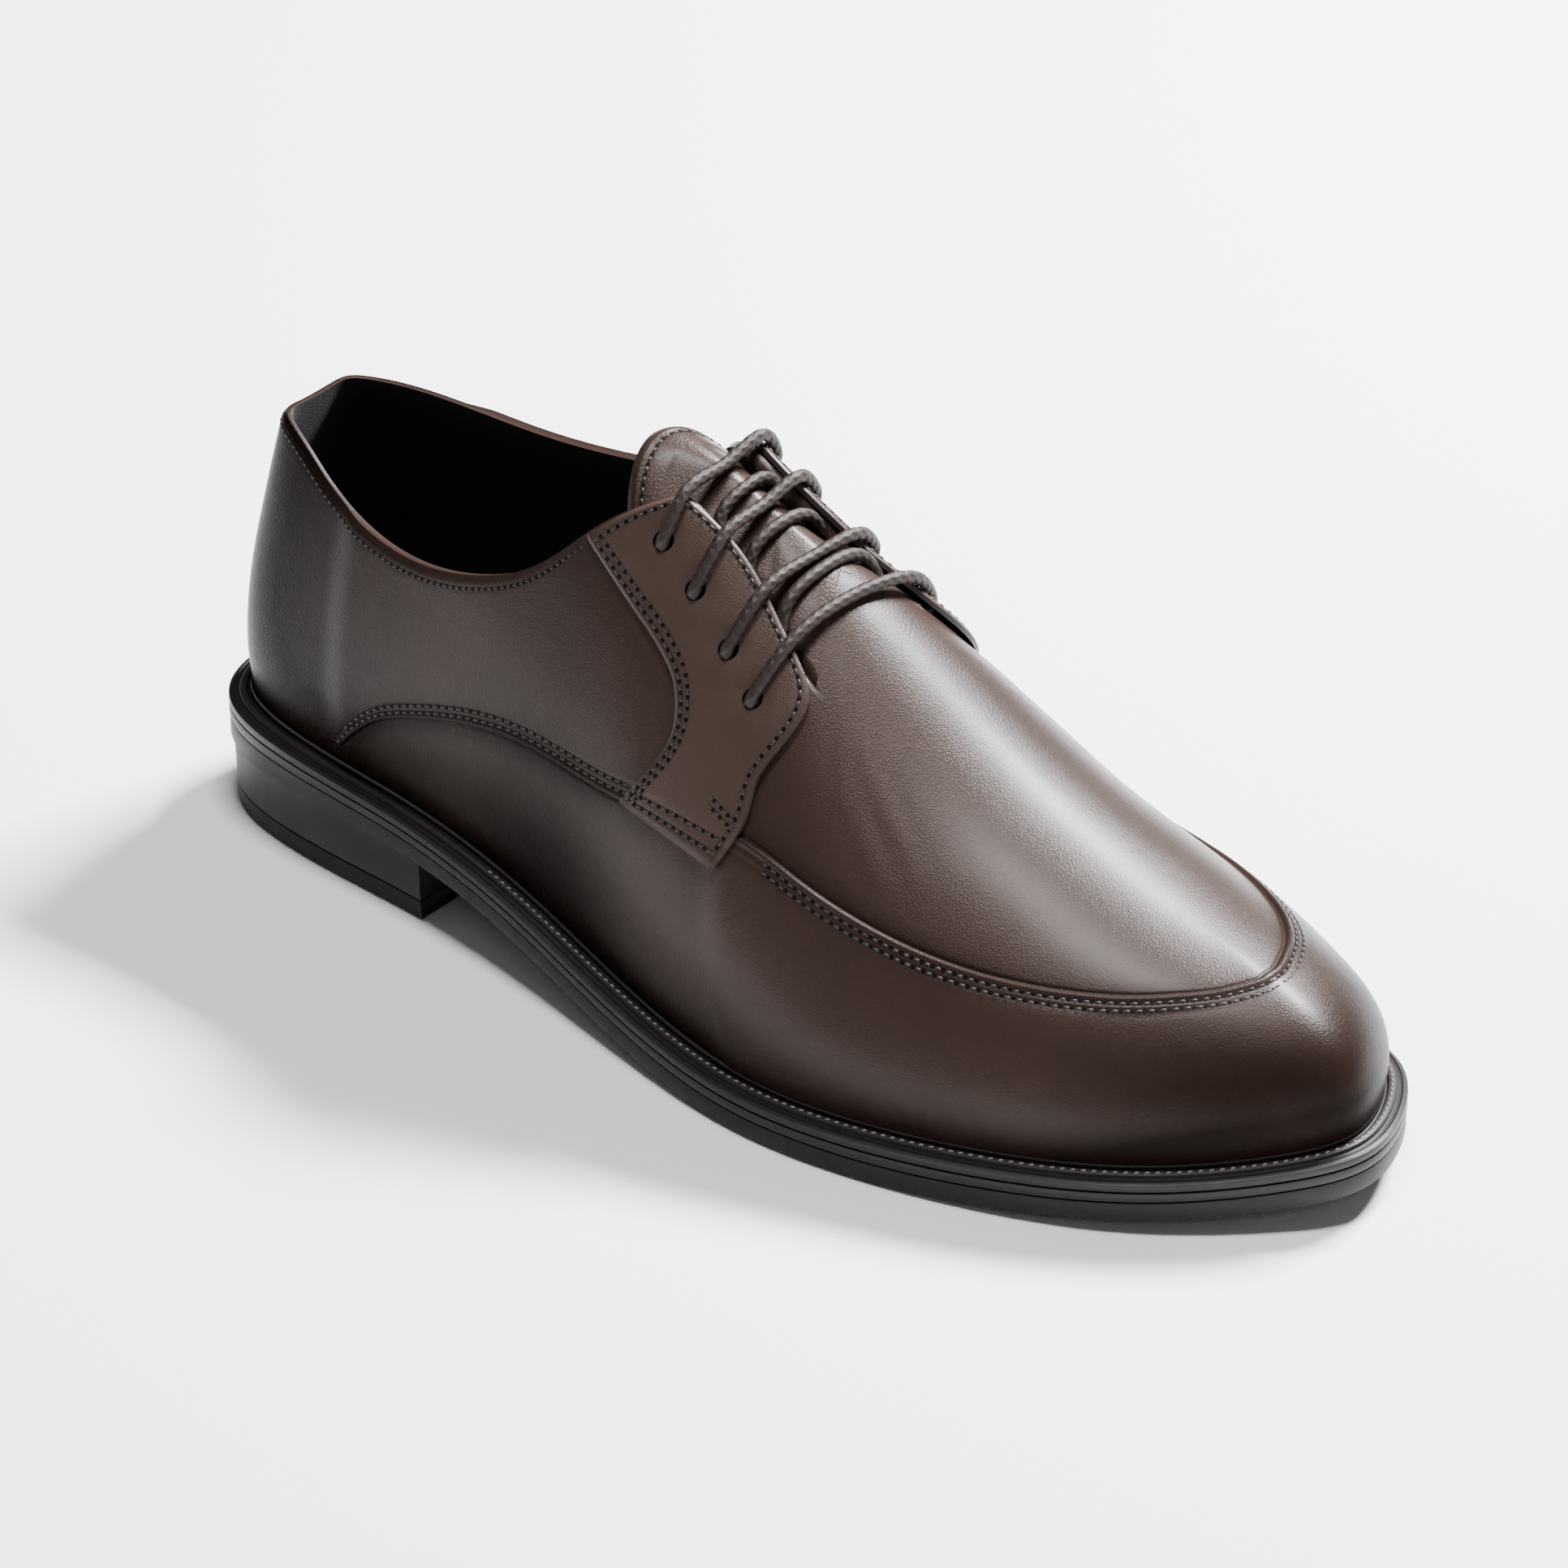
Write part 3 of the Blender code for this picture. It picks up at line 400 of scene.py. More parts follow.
def last_offset(r, v, height):
    """A point a height outside the last, along its normal."""
    step = 0.002
    v = np.clip(v, 0.001, 0.999)
    across = last_point(r + step, v) - last_point(r - step, v)
    upward = last_point(r, v + 0.001) - last_point(r, v - 0.001)
    normal = unit(np.cross(across, upward))
    return last_point(r, v) + normal * np.asarray(height, float)[..., None]


def topline_v(r):
    """Where the section at r reaches the height of the upper's top edge."""
    s = float(along(r))
    height = float(TOP_MEDIAL(s) if (r % 2.0) > 1.0 else TOP_LATERAL(s))
    low, high = 0.3, 1.0
    for _ in range(40):
        middle = (low + high) / 2.0
        if float(last_point(r, middle)[2]) < height:
            low = middle
        else:
            high = middle
    return (low + high) / 2.0


TONGUE_THICKNESS = 2.2
TONGUE_UNDER = 0.5
TONGUE_FRONT = 0.668
TONGUE_TOP_EDGE = 0.405
TONGUE_TOP_BOW = 0.072
TONGUE_EDGE_LOW = 0.58
TONGUE_EDGE_HIGH = 0.70
TONGUE_ARCH_V = 0.80
WELT_SHARE = 0.20
MIDSOLE_SHARE = 0.48


def to_metres(points):
    """The model's frame: metres, origin on the ground below the middle of the shoe."""
    return (np.asarray(points, float) - CENTRE) * MM


def shader_of(made):
    """A material's Principled shader."""
    return made.node_tree.nodes["Principled BSDF"]


def new_material(name, colour, roughness, coat=0.0, coat_roughness=0.3, sheen=0.0, specular=0.5):
    """A Principled material whose even values sit on the shader's own sockets."""
    made = bpy.data.materials.new(name)
    made.use_nodes = True
    shader = shader_of(made)
    shader.inputs["Base Color"].default_value = (*colour, 1.0)
    shader.inputs["Roughness"].default_value = roughness
    shader.inputs["Coat Weight"].default_value = coat
    shader.inputs["Coat Roughness"].default_value = coat_roughness
    shader.inputs["Sheen Weight"].default_value = sheen
    shader.inputs["Specular IOR Level"].default_value = specular
    return made


def noise_node(made, scale, detail, rough=0.5):
    """A noise texture in object space; scale is features per metre."""
    tree = made.node_tree
    place = tree.nodes.new("ShaderNodeTexCoord")
    noise = tree.nodes.new("ShaderNodeTexNoise")
    noise.inputs["Scale"].default_value = scale
    noise.inputs["Detail"].default_value = detail
    noise.inputs["Roughness"].default_value = rough
    tree.links.new(place.outputs["Object"], noise.inputs["Vector"])
    return noise.outputs["Fac"]


def cell_node(made, scale):
    """Cells in object space, for grain."""
    tree = made.node_tree
    place = tree.nodes.new("ShaderNodeTexCoord")
    cells = tree.nodes.new("ShaderNodeTexVoronoi")
    cells.inputs["Scale"].default_value = scale
    tree.links.new(place.outputs["Object"], cells.inputs["Vector"])
    return cells.outputs["Distance"]


def ramp(made, value, low, high, start=0.0, end=1.0):
    """Map a value between start and end to the range low to high."""
    tree = made.node_tree
    node = tree.nodes.new("ShaderNodeMapRange")
    node.inputs["From Min"].default_value = start
    node.inputs["From Max"].default_value = end
    node.inputs["To Min"].default_value = low
    node.inputs["To Max"].default_value = high
    tree.links.new(value, node.inputs["Value"])
    return node.outputs["Result"]


def blend_colour(made, share, first, second):
    """Mix two colours, or a colour and a socket, by a share."""
    tree = made.node_tree
    node = tree.nodes.new("ShaderNodeMix")
    node.data_type = "RGBA"
    tree.links.new(share, node.inputs["Factor"])
    for value, socket in ((first, node.inputs["A"]), (second, node.inputs["B"])):
        if isinstance(value, tuple):
            socket.default_value = (*value, 1.0)
        else:
            tree.links.new(value, socket)
    return node.outputs["Result"]


def combine(made, how, first, second):
    """Sum or product of two sockets, or of a socket and a number."""
    tree = made.node_tree
    node = tree.nodes.new("ShaderNodeMath")
    node.operation = how
    for k, value in enumerate((first, second)):
        if isinstance(value, float):
            node.inputs[k].default_value = value
        else:
            tree.links.new(value, node.inputs[k])
    return node.outputs["Value"]


def bump(made, height, distance, strength, below=None):
    """Bump from a height in 0 to 1 over a distance in metres."""
    tree = made.node_tree
    node = tree.nodes.new("ShaderNodeBump")
    node.inputs["Strength"].default_value = strength
    node.inputs["Distance"].default_value = distance
    tree.links.new(height, node.inputs["Height"])
    if below is not None:
        tree.links.new(below, node.inputs["Normal"])
    return node.outputs["Normal"]


def attribute(made, name):
    """A value that the mesh carries at its points."""
    tree = made.node_tree
    node = tree.nodes.new("ShaderNodeAttribute")
    node.attribute_name = name
    return node.outputs["Fac"]


def feed(made, value, socket):
    """Link a value to a socket of the material's shader."""
    made.node_tree.links.new(value, shader_of(made).inputs[socket])


def leather(name, dark, light, roughness, grain_scale, grain_depth):
    """Smooth finished leather with fine grain, darker where the shade attribute says so: partly burnish,
    partly painted shade.
    """
    made = new_material(name, light, roughness, coat=0.12, coat_roughness=0.27, specular=0.10)
    cloud = noise_node(made, 38.0, 4.0, 0.6)
    mottle = noise_node(made, 420.0, 3.0, 0.6)
    shade = attribute(made, "shade")
    # The shade attribute mixes in the dark colour: partly burnish, partly painted shade
    mixed = combine(made, "ADD", shade, ramp(made, cloud, -0.22, 0.22))
    mixed = combine(made, "ADD", mixed, ramp(made, mottle, -0.10, 0.10))
    feed(made, blend_colour(made, mixed, light, dark), "Base Color")
    rough = combine(made, "ADD", ramp(made, mottle, -0.05, 0.06), ramp(made, cloud, -0.05, 0.05))
    feed(made, combine(made, "ADD", rough, roughness), "Roughness")
    feed(made, ramp(made, shade, 0.11, 0.02), "Specular IOR Level")
    feed(made, ramp(made, shade, 0.14, 0.01), "Coat Weight")
    cells = cell_node(made, grain_scale)
    pores = noise_node(made, grain_scale * 1.9, 2.0, 0.6)
    grain = combine(made, "ADD", cells, combine(made, "MULTIPLY", pores, 0.9))
    fine = bump(made, grain, grain_depth, 0.6)
    wave = noise_node(made, 75.0, 2.0, 0.5)
    feed(made, bump(made, wave, 0.0006, 0.22, fine), "Normal")
    return made


def grid_faces(rows, columns, closed, start=0):
    """Quads of a grid of vertices, row by row."""
    spans = columns if closed else columns - 1
    i, j = np.meshgrid(np.arange(rows - 1), np.arange(spans), indexing="ij")
    k = (j + 1) % columns
    a = start + i * columns + j
    b = start + i * columns + k
    c = start + (i + 1) * columns + k
    d = start + (i + 1) * columns + j
    return np.stack([a, b, c, d], -1).reshape(-1, 4)


def tube_faces(rings, sides, start):
    """Faces of a tube of rings, with a cap at each end."""
    faces = grid_faces(rings, sides, True, start).tolist()
    faces.append([start + a for a in reversed(range(sides))])
    faces.append([start + (rings - 1) * sides + a for a in range(sides)])
    return faces


def make_object(name, points, faces, looks, face_looks=None, shade=None, sharp=None):
    """A mesh object in the model's frame that rides on the shoe."""
    mesh = bpy.data.meshes.new(name)
    mesh.from_pydata(to_metres(points).tolist(), [], [tuple(f) for f in faces])
    if shade is not None:
        layer = mesh.attributes.new("shade", "FLOAT", "POINT")
        layer.data.foreach_set("value", np.asarray(shade, np.float32))
    for look in looks:
        mesh.materials.append(look)
    if face_looks is not None:
        mesh.polygons.foreach_set("material_index", np.asarray(face_looks, np.int32))
    mesh.shade_smooth()
    if sharp is not None:
        mesh.set_sharp_from_angle(angle=math.radians(sharp))
    mesh.validate()
    made = bpy.data.objects.new(name, mesh)
    bpy.context.scene.collection.objects.link(made)
    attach(made, "root")
    return made


def make_sheet(name, outer, inner, looks, rim_look, tone, sharp, flip):
    """A sheet of leather between two grids of points, closed round its edge."""
    rows, columns = outer.shape[:2]
    size = rows * columns
    front = grid_faces(rows, columns, False)
    back = grid_faces(rows, columns, False, size)[:, ::-1]
    edge = [i * columns for i in range(rows)]
    edge += [(rows - 1) * columns + j for j in range(1, columns)]
    edge += [i * columns + columns - 1 for i in range(rows - 2, -1, -1)]
    edge += range(columns - 2, 0, -1)
    band = [(b, a, size + a, size + b) for a, b in zip(edge, edge[1:] + edge[:1])]
    faces = np.concatenate([front, back, np.array(band)])
    marks = [0] * len(front) + [1] * len(back) + [rim_look] * len(band)
    points = np.concatenate([outer.reshape(-1, 3), inner.reshape(-1, 3)])
    tones = np.concatenate([tone.reshape(-1), tone.reshape(-1)])
    return make_object(name, points, faces[:, ::-1] if flip else faces, looks, marks, tones, sharp)


def face_outwards(made):
    """Turn all the faces of a closed mesh outwards."""
    work = bmesh.new()
    work.from_mesh(made.data)
    bmesh.ops.recalc_face_normals(work, faces=work.faces)
    work.to_mesh(made.data)
    work.free()


def cut_eyelets(made, punch):
    """Cut the eyelets out of a piece of leather."""
    cut = made.modifiers.new("eyelets", "BOOLEAN")
    cut.operation = "DIFFERENCE"
    cut.object = punch


def frames_along(points, normals, pitch, between=False):
    """Centre, normal and direction at even places along a line, or half way between them."""
    points = np.asarray(points, float)
    normals = np.asarray(normals, float)
    steps = step_lengths(points)
    way = np.concatenate([[0.0], np.cumsum(steps)])
    count = max(2, int(round(way[-1] / pitch)))
    marks = (np.arange(count) + 0.5) * way[-1] / count
    if between:
        marks = (marks[1:] + marks[:-1]) / 2.0

    def at(rows, place):
        return np.array([np.interp(place, way, rows[:, k]) for k in range(3)])

    for mark in marks:
        ahead = at(points, mark + 0.3) - at(points, mark - 0.3)
        normal = at(normals, mark)
        yield at(points, mark), unit(normal), unit(ahead)


STITCH_SIDES = 6
STITCH_RINGS = 5
STITCH_FLATNESS = 0.42


def stitch_row(name, points, normals, look, pitch, length, width, lift=0.05, slant=0.0):
    """A row of stitches along points on a surface, each a small flattened bead."""
    skin = []
    faces = []
    flat = width * STITCH_FLATNESS
    for centre, normal, ahead in frames_along(points, normals, pitch):
        ahead = unit(ahead + slant * np.cross(normal, ahead))
        side = np.cross(normal, ahead)
        faces.extend(tube_faces(STITCH_RINGS, STITCH_SIDES, len(skin)))
        for t in np.linspace(-1.0, 1.0, STITCH_RINGS):
            round_off = math.sqrt(max(0.0, 1.0 - t**4)) * 0.9 + 0.1
            for angle in np.arange(STITCH_SIDES) * 2.0 * math.pi / STITCH_SIDES:
                skin.append(
                    centre + ahead * (t * length / 2.0)
                    + side * (math.cos(angle) * width / 2.0 * round_off)
                    + normal * (math.sin(angle) * flat * round_off + lift - flat * t * t)
                )
    return make_object(name, skin, faces, [look])


def hole_row(name, points, normals, look, pitch, size=0.52):
    """Dark discs at the needle holes between the stitches of a row: painted shade of the holes."""
    skin = []
    faces = []
    for centre, normal, ahead in frames_along(points, normals, pitch, True):
        side = np.cross(normal, ahead)
        start = len(skin)
        for angle in np.arange(STITCH_SIDES) * 2.0 * math.pi / STITCH_SIDES:
            round_it = math.cos(angle) * ahead + math.sin(angle) * side
            skin.append(centre + size * round_it + normal * 0.06)
        skin.append(centre + normal * 0.10)
        for a in range(STITCH_SIDES):
            faces.append([start + a, start + (a + 1) % STITCH_SIDES, start + STITCH_SIDES])
    return make_object(name, skin, faces, [look])


def surface_normal(r, v, height):
    """Unit normals of the last at places."""
    return unit(last_offset(r, v, height + 1.0) - last_offset(r, v, height))


def sewn_line(name, r, v, height, thread, dark, pitch, length, width):
    """A row of stitches and its needle holes along places on the last."""
    height = np.broadcast_to(np.asarray(height, float), r.shape)
    points = last_offset(r, v, height)
    normals = surface_normal(r, v, height)
    stitch_row(name, points, normals, thread, pitch, length, width, 0.06)
    hole_row(name + "_holes", points, normals, dark, pitch)


UPPER_COLUMNS = 400
ROWS_LOW = 22
ROWS_BAND = 26
ROWS_HIGH = 26
ROWS_TOP = 22
BAND = 0.050
STEP = 0.95
NO_SEAM = -0.2
AT_THROAT = 1e-6
UPPER_SHARP = 65.0
UPPER_WELD = 0.02


def section_length(r):
    """Length of the section at r, for turning millimetres into v."""
    v = np.linspace(0.0, 1.0, 30)
    points = last_point(np.full(30, r), v)
    return float(step_lengths(points).sum())


def seam_line(s):
    """Height of the seam on the section."""
    s = np.asarray(s, float)
    return np.where(s > SEAM[0][0], SEAM_HEIGHT(s), 0.0)


def upper_height(r, v, v_seam, per_mm, v_edge):
    """How far the upper's outside stands off the last."""
    s = along(r)
    in_front = ease(s, 0.565, 0.60)
    starts = ease(s, 0.195, 0.225)
    away = (v - v_seam) / per_mm
    below = np.clip(0.5 - away / 0.5, 0.0, 1.0)
    below = below * below * (3.0 - 2.0 * below)
    over = np.clip(0.5 + away / 0.5, 0.0, 1.0)
    over = over * over * (3.0 - 2.0 * over)
    height = STEP * (in_front * below + (1.0 - in_front) * starts * over)
    lip_at = np.where(in_front > 0.5, -0.75, 0.75)
    lip = 0.16 * np.exp(-((away - lip_at) / 0.45) ** 2)
    side = np.where(in_front > 0.5, -1.0, 1.0)
    for row in SEAM_ROWS:
        lip = lip - 0.20 * np.exp(-((away - side * row) / 0.42) ** 2)
    groove = 0.18 * np.exp(-((away + side * 0.35) / 0.35) ** 2)
    height = height + (lip - groove) * starts
    edge = (v_edge - v) / per_mm
    fold = np.where(s < THROAT - 0.0001, 1.0, 0.0)
    height = height - fold * 0.9 * np.exp(-(np.clip(edge, 0.0, None) / 0.9) ** 1.6)
    height = height - fold * 0.12 * np.exp(-((edge - COLLAR_ROW) / 0.4) ** 2)
    return height


def upper_shade(r, v, v_seam):
    """Darker at the toe, the heel, low on the sides, at the waist and next to the seams: partly burnish,
    partly painted shade; on the quarter's upright sides, painted shade only.
    """
    s = along(r)
    # Partly burnish, partly painted shade: darker low on the sides, at the toe, the heel, the waist and
    # next to the seams
    low = 0.85 * np.exp(-(v / 0.16) ** 2)
    toe = 0.75 * ease(s, 0.80, 0.97) * (1.0 - ease(v, 0.35, 0.75))
    heel = 0.80 * (1.0 - ease(s, 0.06, 0.34))
    seam = 0.35 * np.exp(-((v - v_seam) / 0.035) ** 2)
    waist = 0.35 * np.exp(-((s - 0.42) / 0.08) ** 2) * (1.0 - ease(v, 0.2, 0.5))
    # Painted shade only: the quarter's upright sides darker, for the little light that falls on them
    quarter = 0.35 * (1.0 - ease(s, 0.42, 0.56)) * ease(v, 0.05, 0.2)
    return np.clip(low + toe + heel + seam + waist + quarter, 0.0, 1.0)


# Small wrinkles: s, v, reach along, reach up, depth in mm, direction
WRINKLES = [
    (0.66, 0.70, 0.020, 0.10, 0.16, 2.4),
    (0.70, 0.62, 0.025, 0.10, 0.10, 1.2),
    (0.47, 0.22, 0.050, 0.12, 0.10, 1.6),
]


def folds(points, r, v):
    """Soft unevenness and the small wrinkles that the photo shows, in millimetres."""
    s = along(r)
    x, y, z = points[..., 0], points[..., 1], points[..., 2]
    soft = 0.10 * np.sin(x / 9.0 + 1.3 * np.sin(z / 13.0)) * np.sin(z / 11.0 + y / 17.0)
    total = soft * ease(v, 0.08, 0.2) * (1.0 - 0.6 * ease(s, 0.80, 0.9))
    for place, height, reach_s, reach_v, depth, turn in WRINKLES:
        ds = (s - place) / reach_s
        dv = (v - height) / reach_v
        wave = np.sin((ds * turn + dv * (3.0 - turn)) * 3.0)
        total = total + depth * np.exp(-ds * ds - dv * dv) * wave
    return total * (1.0 - np.exp(-((s - THROAT) / 0.012) ** 2))


def column_places():
    """Places round the shoe, denser at the heel and the toe, with one exactly at the throat."""
    half = UPPER_COLUMNS // 2
    t = np.linspace(0.0, 1.0, half + 1)
    s = t - 0.085 * np.sin(2.0 * math.pi * t) / (2.0 * math.pi) * 2.0
    s[int(np.argmin(np.abs(s - THROAT)))] = THROAT
    return s


def upper_places(ring):
    """v of the upper's rows round the ring, v of its seam and of its edge, and v per millimetre."""
    throat_v = {medial: topline_v(ring_place(THROAT, medial)) for medial in (False, True)}
    throat_seam = float(seam_line(THROAT))
    columns = []
    seams = []
    edges = []
    for r in ring:
        s = float(along(r))
        seam = float(seam_line(s))
        seam_v = max(seam, BAND + 0.012)
        if s <= THROAT + AT_THROAT:
            edge = topline_v(r)
        else:
            share = (throat_v[bool(r > 1.0)] - throat_seam) / (1.0 - throat_seam)
            edge = seam_v + share * (1.0 - seam_v)
        low = np.linspace(0.0, seam_v - BAND, ROWS_LOW + 1)
        t = np.linspace(-1.0, 1.0, ROWS_BAND + 1)
        band = seam_v + BAND * np.sign(t) * np.abs(t) ** 1.15
        t = np.linspace(0.0, 1.0, ROWS_HIGH + 1)
        high = seam_v + BAND + (edge - seam_v - BAND) * (1.0 - (1.0 - t) ** 1.7)
        top = np.linspace(edge, 1.0, ROWS_TOP + 1)
        columns.append(np.concatenate([low, band[1:], high[1:], top[1:]]))
        seams.append(seam if seam > 0.0 else NO_SEAM)
        edges.append(edge)
    per_mm = [1.0 / section_length(r) for r in ring]
    return np.stack(columns, -1), np.array(seams), np.array(edges), np.array(per_mm)


def upper_faces(ring):
    """Faces between the rows of the upper's two skins, at its edges and its foot, and their looks."""
    edge_rows = ROWS_LOW + ROWS_BAND + ROWS_HIGH
    total_rows = edge_rows + ROWS_TOP
    count = len(ring)
    offset = (total_rows + 1) * count
    faces = []
    looks = []
    on_vamp = [float(along(r)) >= THROAT - AT_THROAT for r in ring]
    for j in range(count):
        k = (j + 1) % count
        vamp = on_vamp[j] and on_vamp[k]
        for i in range(total_rows if vamp else edge_rows):
            a, b = i * count + j, i * count + k
            c, d = a + count, b + count
            faces += [(a, b, d, c), (offset + c, offset + d, offset + b, offset + a)]
            looks += [0, 1]
        if not vamp:
            a, b = edge_rows * count + j, edge_rows * count + k
            faces.append((a, b, offset + b, offset + a))
        faces.append((offset + j, offset + k, k, j))
        looks += [0] * (len(faces) - len(looks))
    for j in range(count):
        if abs(float(along(ring[j])) - THROAT) < AT_THROAT:
            for i in range(edge_rows, total_rows):
                a, b = i * count + j, (i + 1) * count + j
                quad = (a, b, offset + b, offset + a)
                faces.append(quad if ring[j] < 1.0 else quad[::-1])
                looks.append(0)
    return np.array(faces), looks


def build_upper(look, lining):
    """Outer skin with its seams, rolled top edge and lining, as one shell."""
    half = column_places()
    ring = np.concatenate([half, 2.0 - half[-2:0:-1]])
    v, seam, edge, per_mm = upper_places(ring)
    r = np.broadcast_to(ring, v.shape)
    height = upper_height(r, v, seam, per_mm, edge)
    height = height + folds(last_offset(r, v, 0.0 * v), r, v)
    outer = last_offset(r, v, height)
    inner = last_offset(r, v, np.full(v.shape, -WALL))
    tone = upper_shade(r, v, seam)
    mirrored = (len(ring) - np.arange(len(ring))) % len(ring)
    for skin in (outer, inner):
        skin[-1] = 0.5 * (skin[-1] + skin[-1][mirrored])
        for row in (-2, -3):
            skin[row] = 0.5 * skin[row] + 0.25 * (skin[row - 1] + skin[row + 1])
    points = np.concatenate([outer.reshape(-1, 3), inner.reshape(-1, 3)])
    shade = np.concatenate([tone.reshape(-1), np.zeros(tone.size)])
    faces, looks = upper_faces(ring)
    used = np.zeros(len(points), bool)
    used[faces.reshape(-1)] = True
    faces = (np.cumsum(used) - 1)[faces]
    made = make_object(
        "upper_leather", points[used], faces, [look, lining], looks, shade[used], UPPER_SHARP
    )
    work = bmesh.new()
    work.from_mesh(made.data)
    bmesh.ops.remove_doubles(work, verts=work.verts, dist=UPPER_WELD * MM)
    work.to_mesh(made.data)
    work.free()
    return made


STAY_DOWN = 90
STAY_ACROSS = 34


def stay_place(t, w, medial):
    """s and v on the eyestay: t runs down it and w from its rear edge to its front edge."""
    side = "medial" if medial else "lateral"
    s = (1.0 - w) * STAY_REAR_S(t) + w * STAY_FRONT_S(t)
    v = (1.0 - w) * STAY_REAR_V(t) + w * STAY_FRONT_V[side](t)
    return s, v


def stay_height(t, w, width, length):
    """How far the facing's outside stands off the last: rounded edges and sewn channels."""
    rear = w * width
    front = (1.0 - w) * width
    top = t * length
    foot = (1.0 - t) * length
    height = np.full(np.broadcast(t, w).shape, EYESTAY_OVER)
    for way in (rear, front, foot):
        height = height - 0.55 * np.exp(-(way / 0.55) ** 1.5)
    height = height - 0.75 * np.exp(-(top / 0.8) ** 1.5)
    for row in FACING_ROWS:
        height = height - 0.18 * np.exp(-((rear - row) / 0.42) ** 2)
        height = height - 0.18 * np.exp(-((foot - row) / 0.42) ** 2)
    height = height - 0.18 * np.exp(-((front - FACING_FRONT_ROW) / 0.42) ** 2)
    height = height - 0.18 * np.exp(-((top - FACING_TOP_ROW) / 0.42) ** 2)
    return height


def crowded(count, power=1.5):
    """Places from 0 to 1, closer together at both ends."""
    t = np.linspace(-1.0, 1.0, count)
    return 0.5 + 0.5 * np.sign(t) * (1.0 - (1.0 - np.abs(t)) ** power)


def build_eyestay(medial, look, edge_look, punch):
    """The facing over the quarter and vamp, with its four punched eyelets."""
    t = crowded(STAY_DOWN)[:, None]
    w = crowded(STAY_ACROSS)[None, :]
    s, v = stay_place(t, w, medial)
    r = ring_place(s, medial)
    flat = last_offset(r, v, np.zeros(s.shape))
    width = np.linalg.norm(np.diff(flat, axis=1), axis=2).sum(1)[:, None]
    length = np.linalg.norm(np.diff(flat, axis=0), axis=2).sum(0)[None, :]
    height = stay_height(t, w, width, length)
    for eyelet in EYELETS:
        place, level = eyelet[2:4] if medial else eyelet[0:2]
        middle = eyelet_axis(ring_place(place, medial), level)[0]
        away = flat - middle
        far = np.linalg.norm(away, axis=-1)
        height = height - 0.45 * np.exp(-(far / 3.4) ** 2)
        ripple = np.sin(away[..., 0] * 1.9 + away[..., 2] * 0.8)
        height = height + 0.035 * ripple * np.exp(-((far - 5.5) / 2.6) ** 2)
    height = height + folds(flat, r, v) * 0.6
    outer = last_offset(r, v, height)
    inner = last_offset(r, v, np.full(s.shape, EYESTAY_UNDER - 0.25))
    near_rear = np.exp(-(w * width / 2.5) ** 2)
    near_front = 0.6 * np.exp(-((1.0 - w) * width / 2.2) ** 2)
    near_foot = np.exp(-((1.0 - t) * length / 2.5) ** 2)
    tone = np.clip(0.35 * (near_rear + near_front + near_foot), 0.0, 1.0)
    name = "facing_medial" if medial else "facing_lateral"
    made = make_sheet(name, outer, inner, [look, edge_look], 1, tone, 50.0, medial)
    cut_eyelets(made, punch)
    return made


def eyelet_axis(r, v):
    """Centre of an eyelet on the last and the direction out of it."""
    low = last_offset(np.array(r), np.array(v), np.array(0.0))
    high = last_offset(np.array(r), np.array(v), np.array(1.0))
    return low, high - low


def build_punch(dark):
    """Slightly oval punches for the eyelets."""
    work = bmesh.new()
    for s, v, medial_s, medial_v, _, _, _ in EYELETS:
        for r, height in ((s, v), (2.0 - medial_s, medial_v)):
            centre, axis = eyelet_axis(r, height)
            turn = mathutils.Vector((0.0, 0.0, 1.0)).rotation_difference(mathutils.Vector(axis))
            place = mathutils.Matrix.Translation(mathutils.Vector(to_metres(centre)))
            stretch = mathutils.Matrix.Diagonal((1.0, EYELET_OVAL, 1.0, 1.0))
            bmesh.ops.create_cone(
                work, cap_ends=True, segments=PUNCH_SIDES, radius1=EYELET_HOLE * MM,
                radius2=EYELET_HOLE * MM, depth=PUNCH_DEPTH * MM,
                matrix=place @ turn.to_matrix().to_4x4() @ stretch,
            )
    mesh = bpy.data.meshes.new("eyelet_punch")
    work.to_mesh(mesh)
    work.free()
    mesh.materials.append(dark)
    punch = bpy.data.objects.new("eyelet_punch", mesh)
    bpy.context.scene.collection.objects.link(punch)
    punch.hide_render = True
    punch.hide_viewport = True
    return punch


EDGE_PLACES = np.linspace(0.40, THROAT, 90)
EDGE_LEVELS = {
    medial: np.array([topline_v(ring_place(float(s), medial)) for s in EDGE_PLACES])
    for medial in (False, True)
}
TONGUE_STITCH_INSET = 3.0
TONGUE_CROWN_FROM = 0.585
TONGUE_CROWN_FULL = 0.622
TONGUE_SINK = -WALL - TONGUE_UNDER
TONGUE_ROWS = 74
TONGUE_SIDE_POINTS = 20
TONGUE_ARCH_STEPS = 34


def flush_lift(s):
    """How far the tongue rises to meet the vamp's outside just behind the throat."""
    behind = np.exp(-(np.clip(THROAT - 0.002 - s, 0.0, None) / 0.042) ** 2)
    under = ease(s, THROAT, THROAT + 0.016)
    return (WALL + TONGUE_UNDER + 0.05) * behind * (1.0 - under)


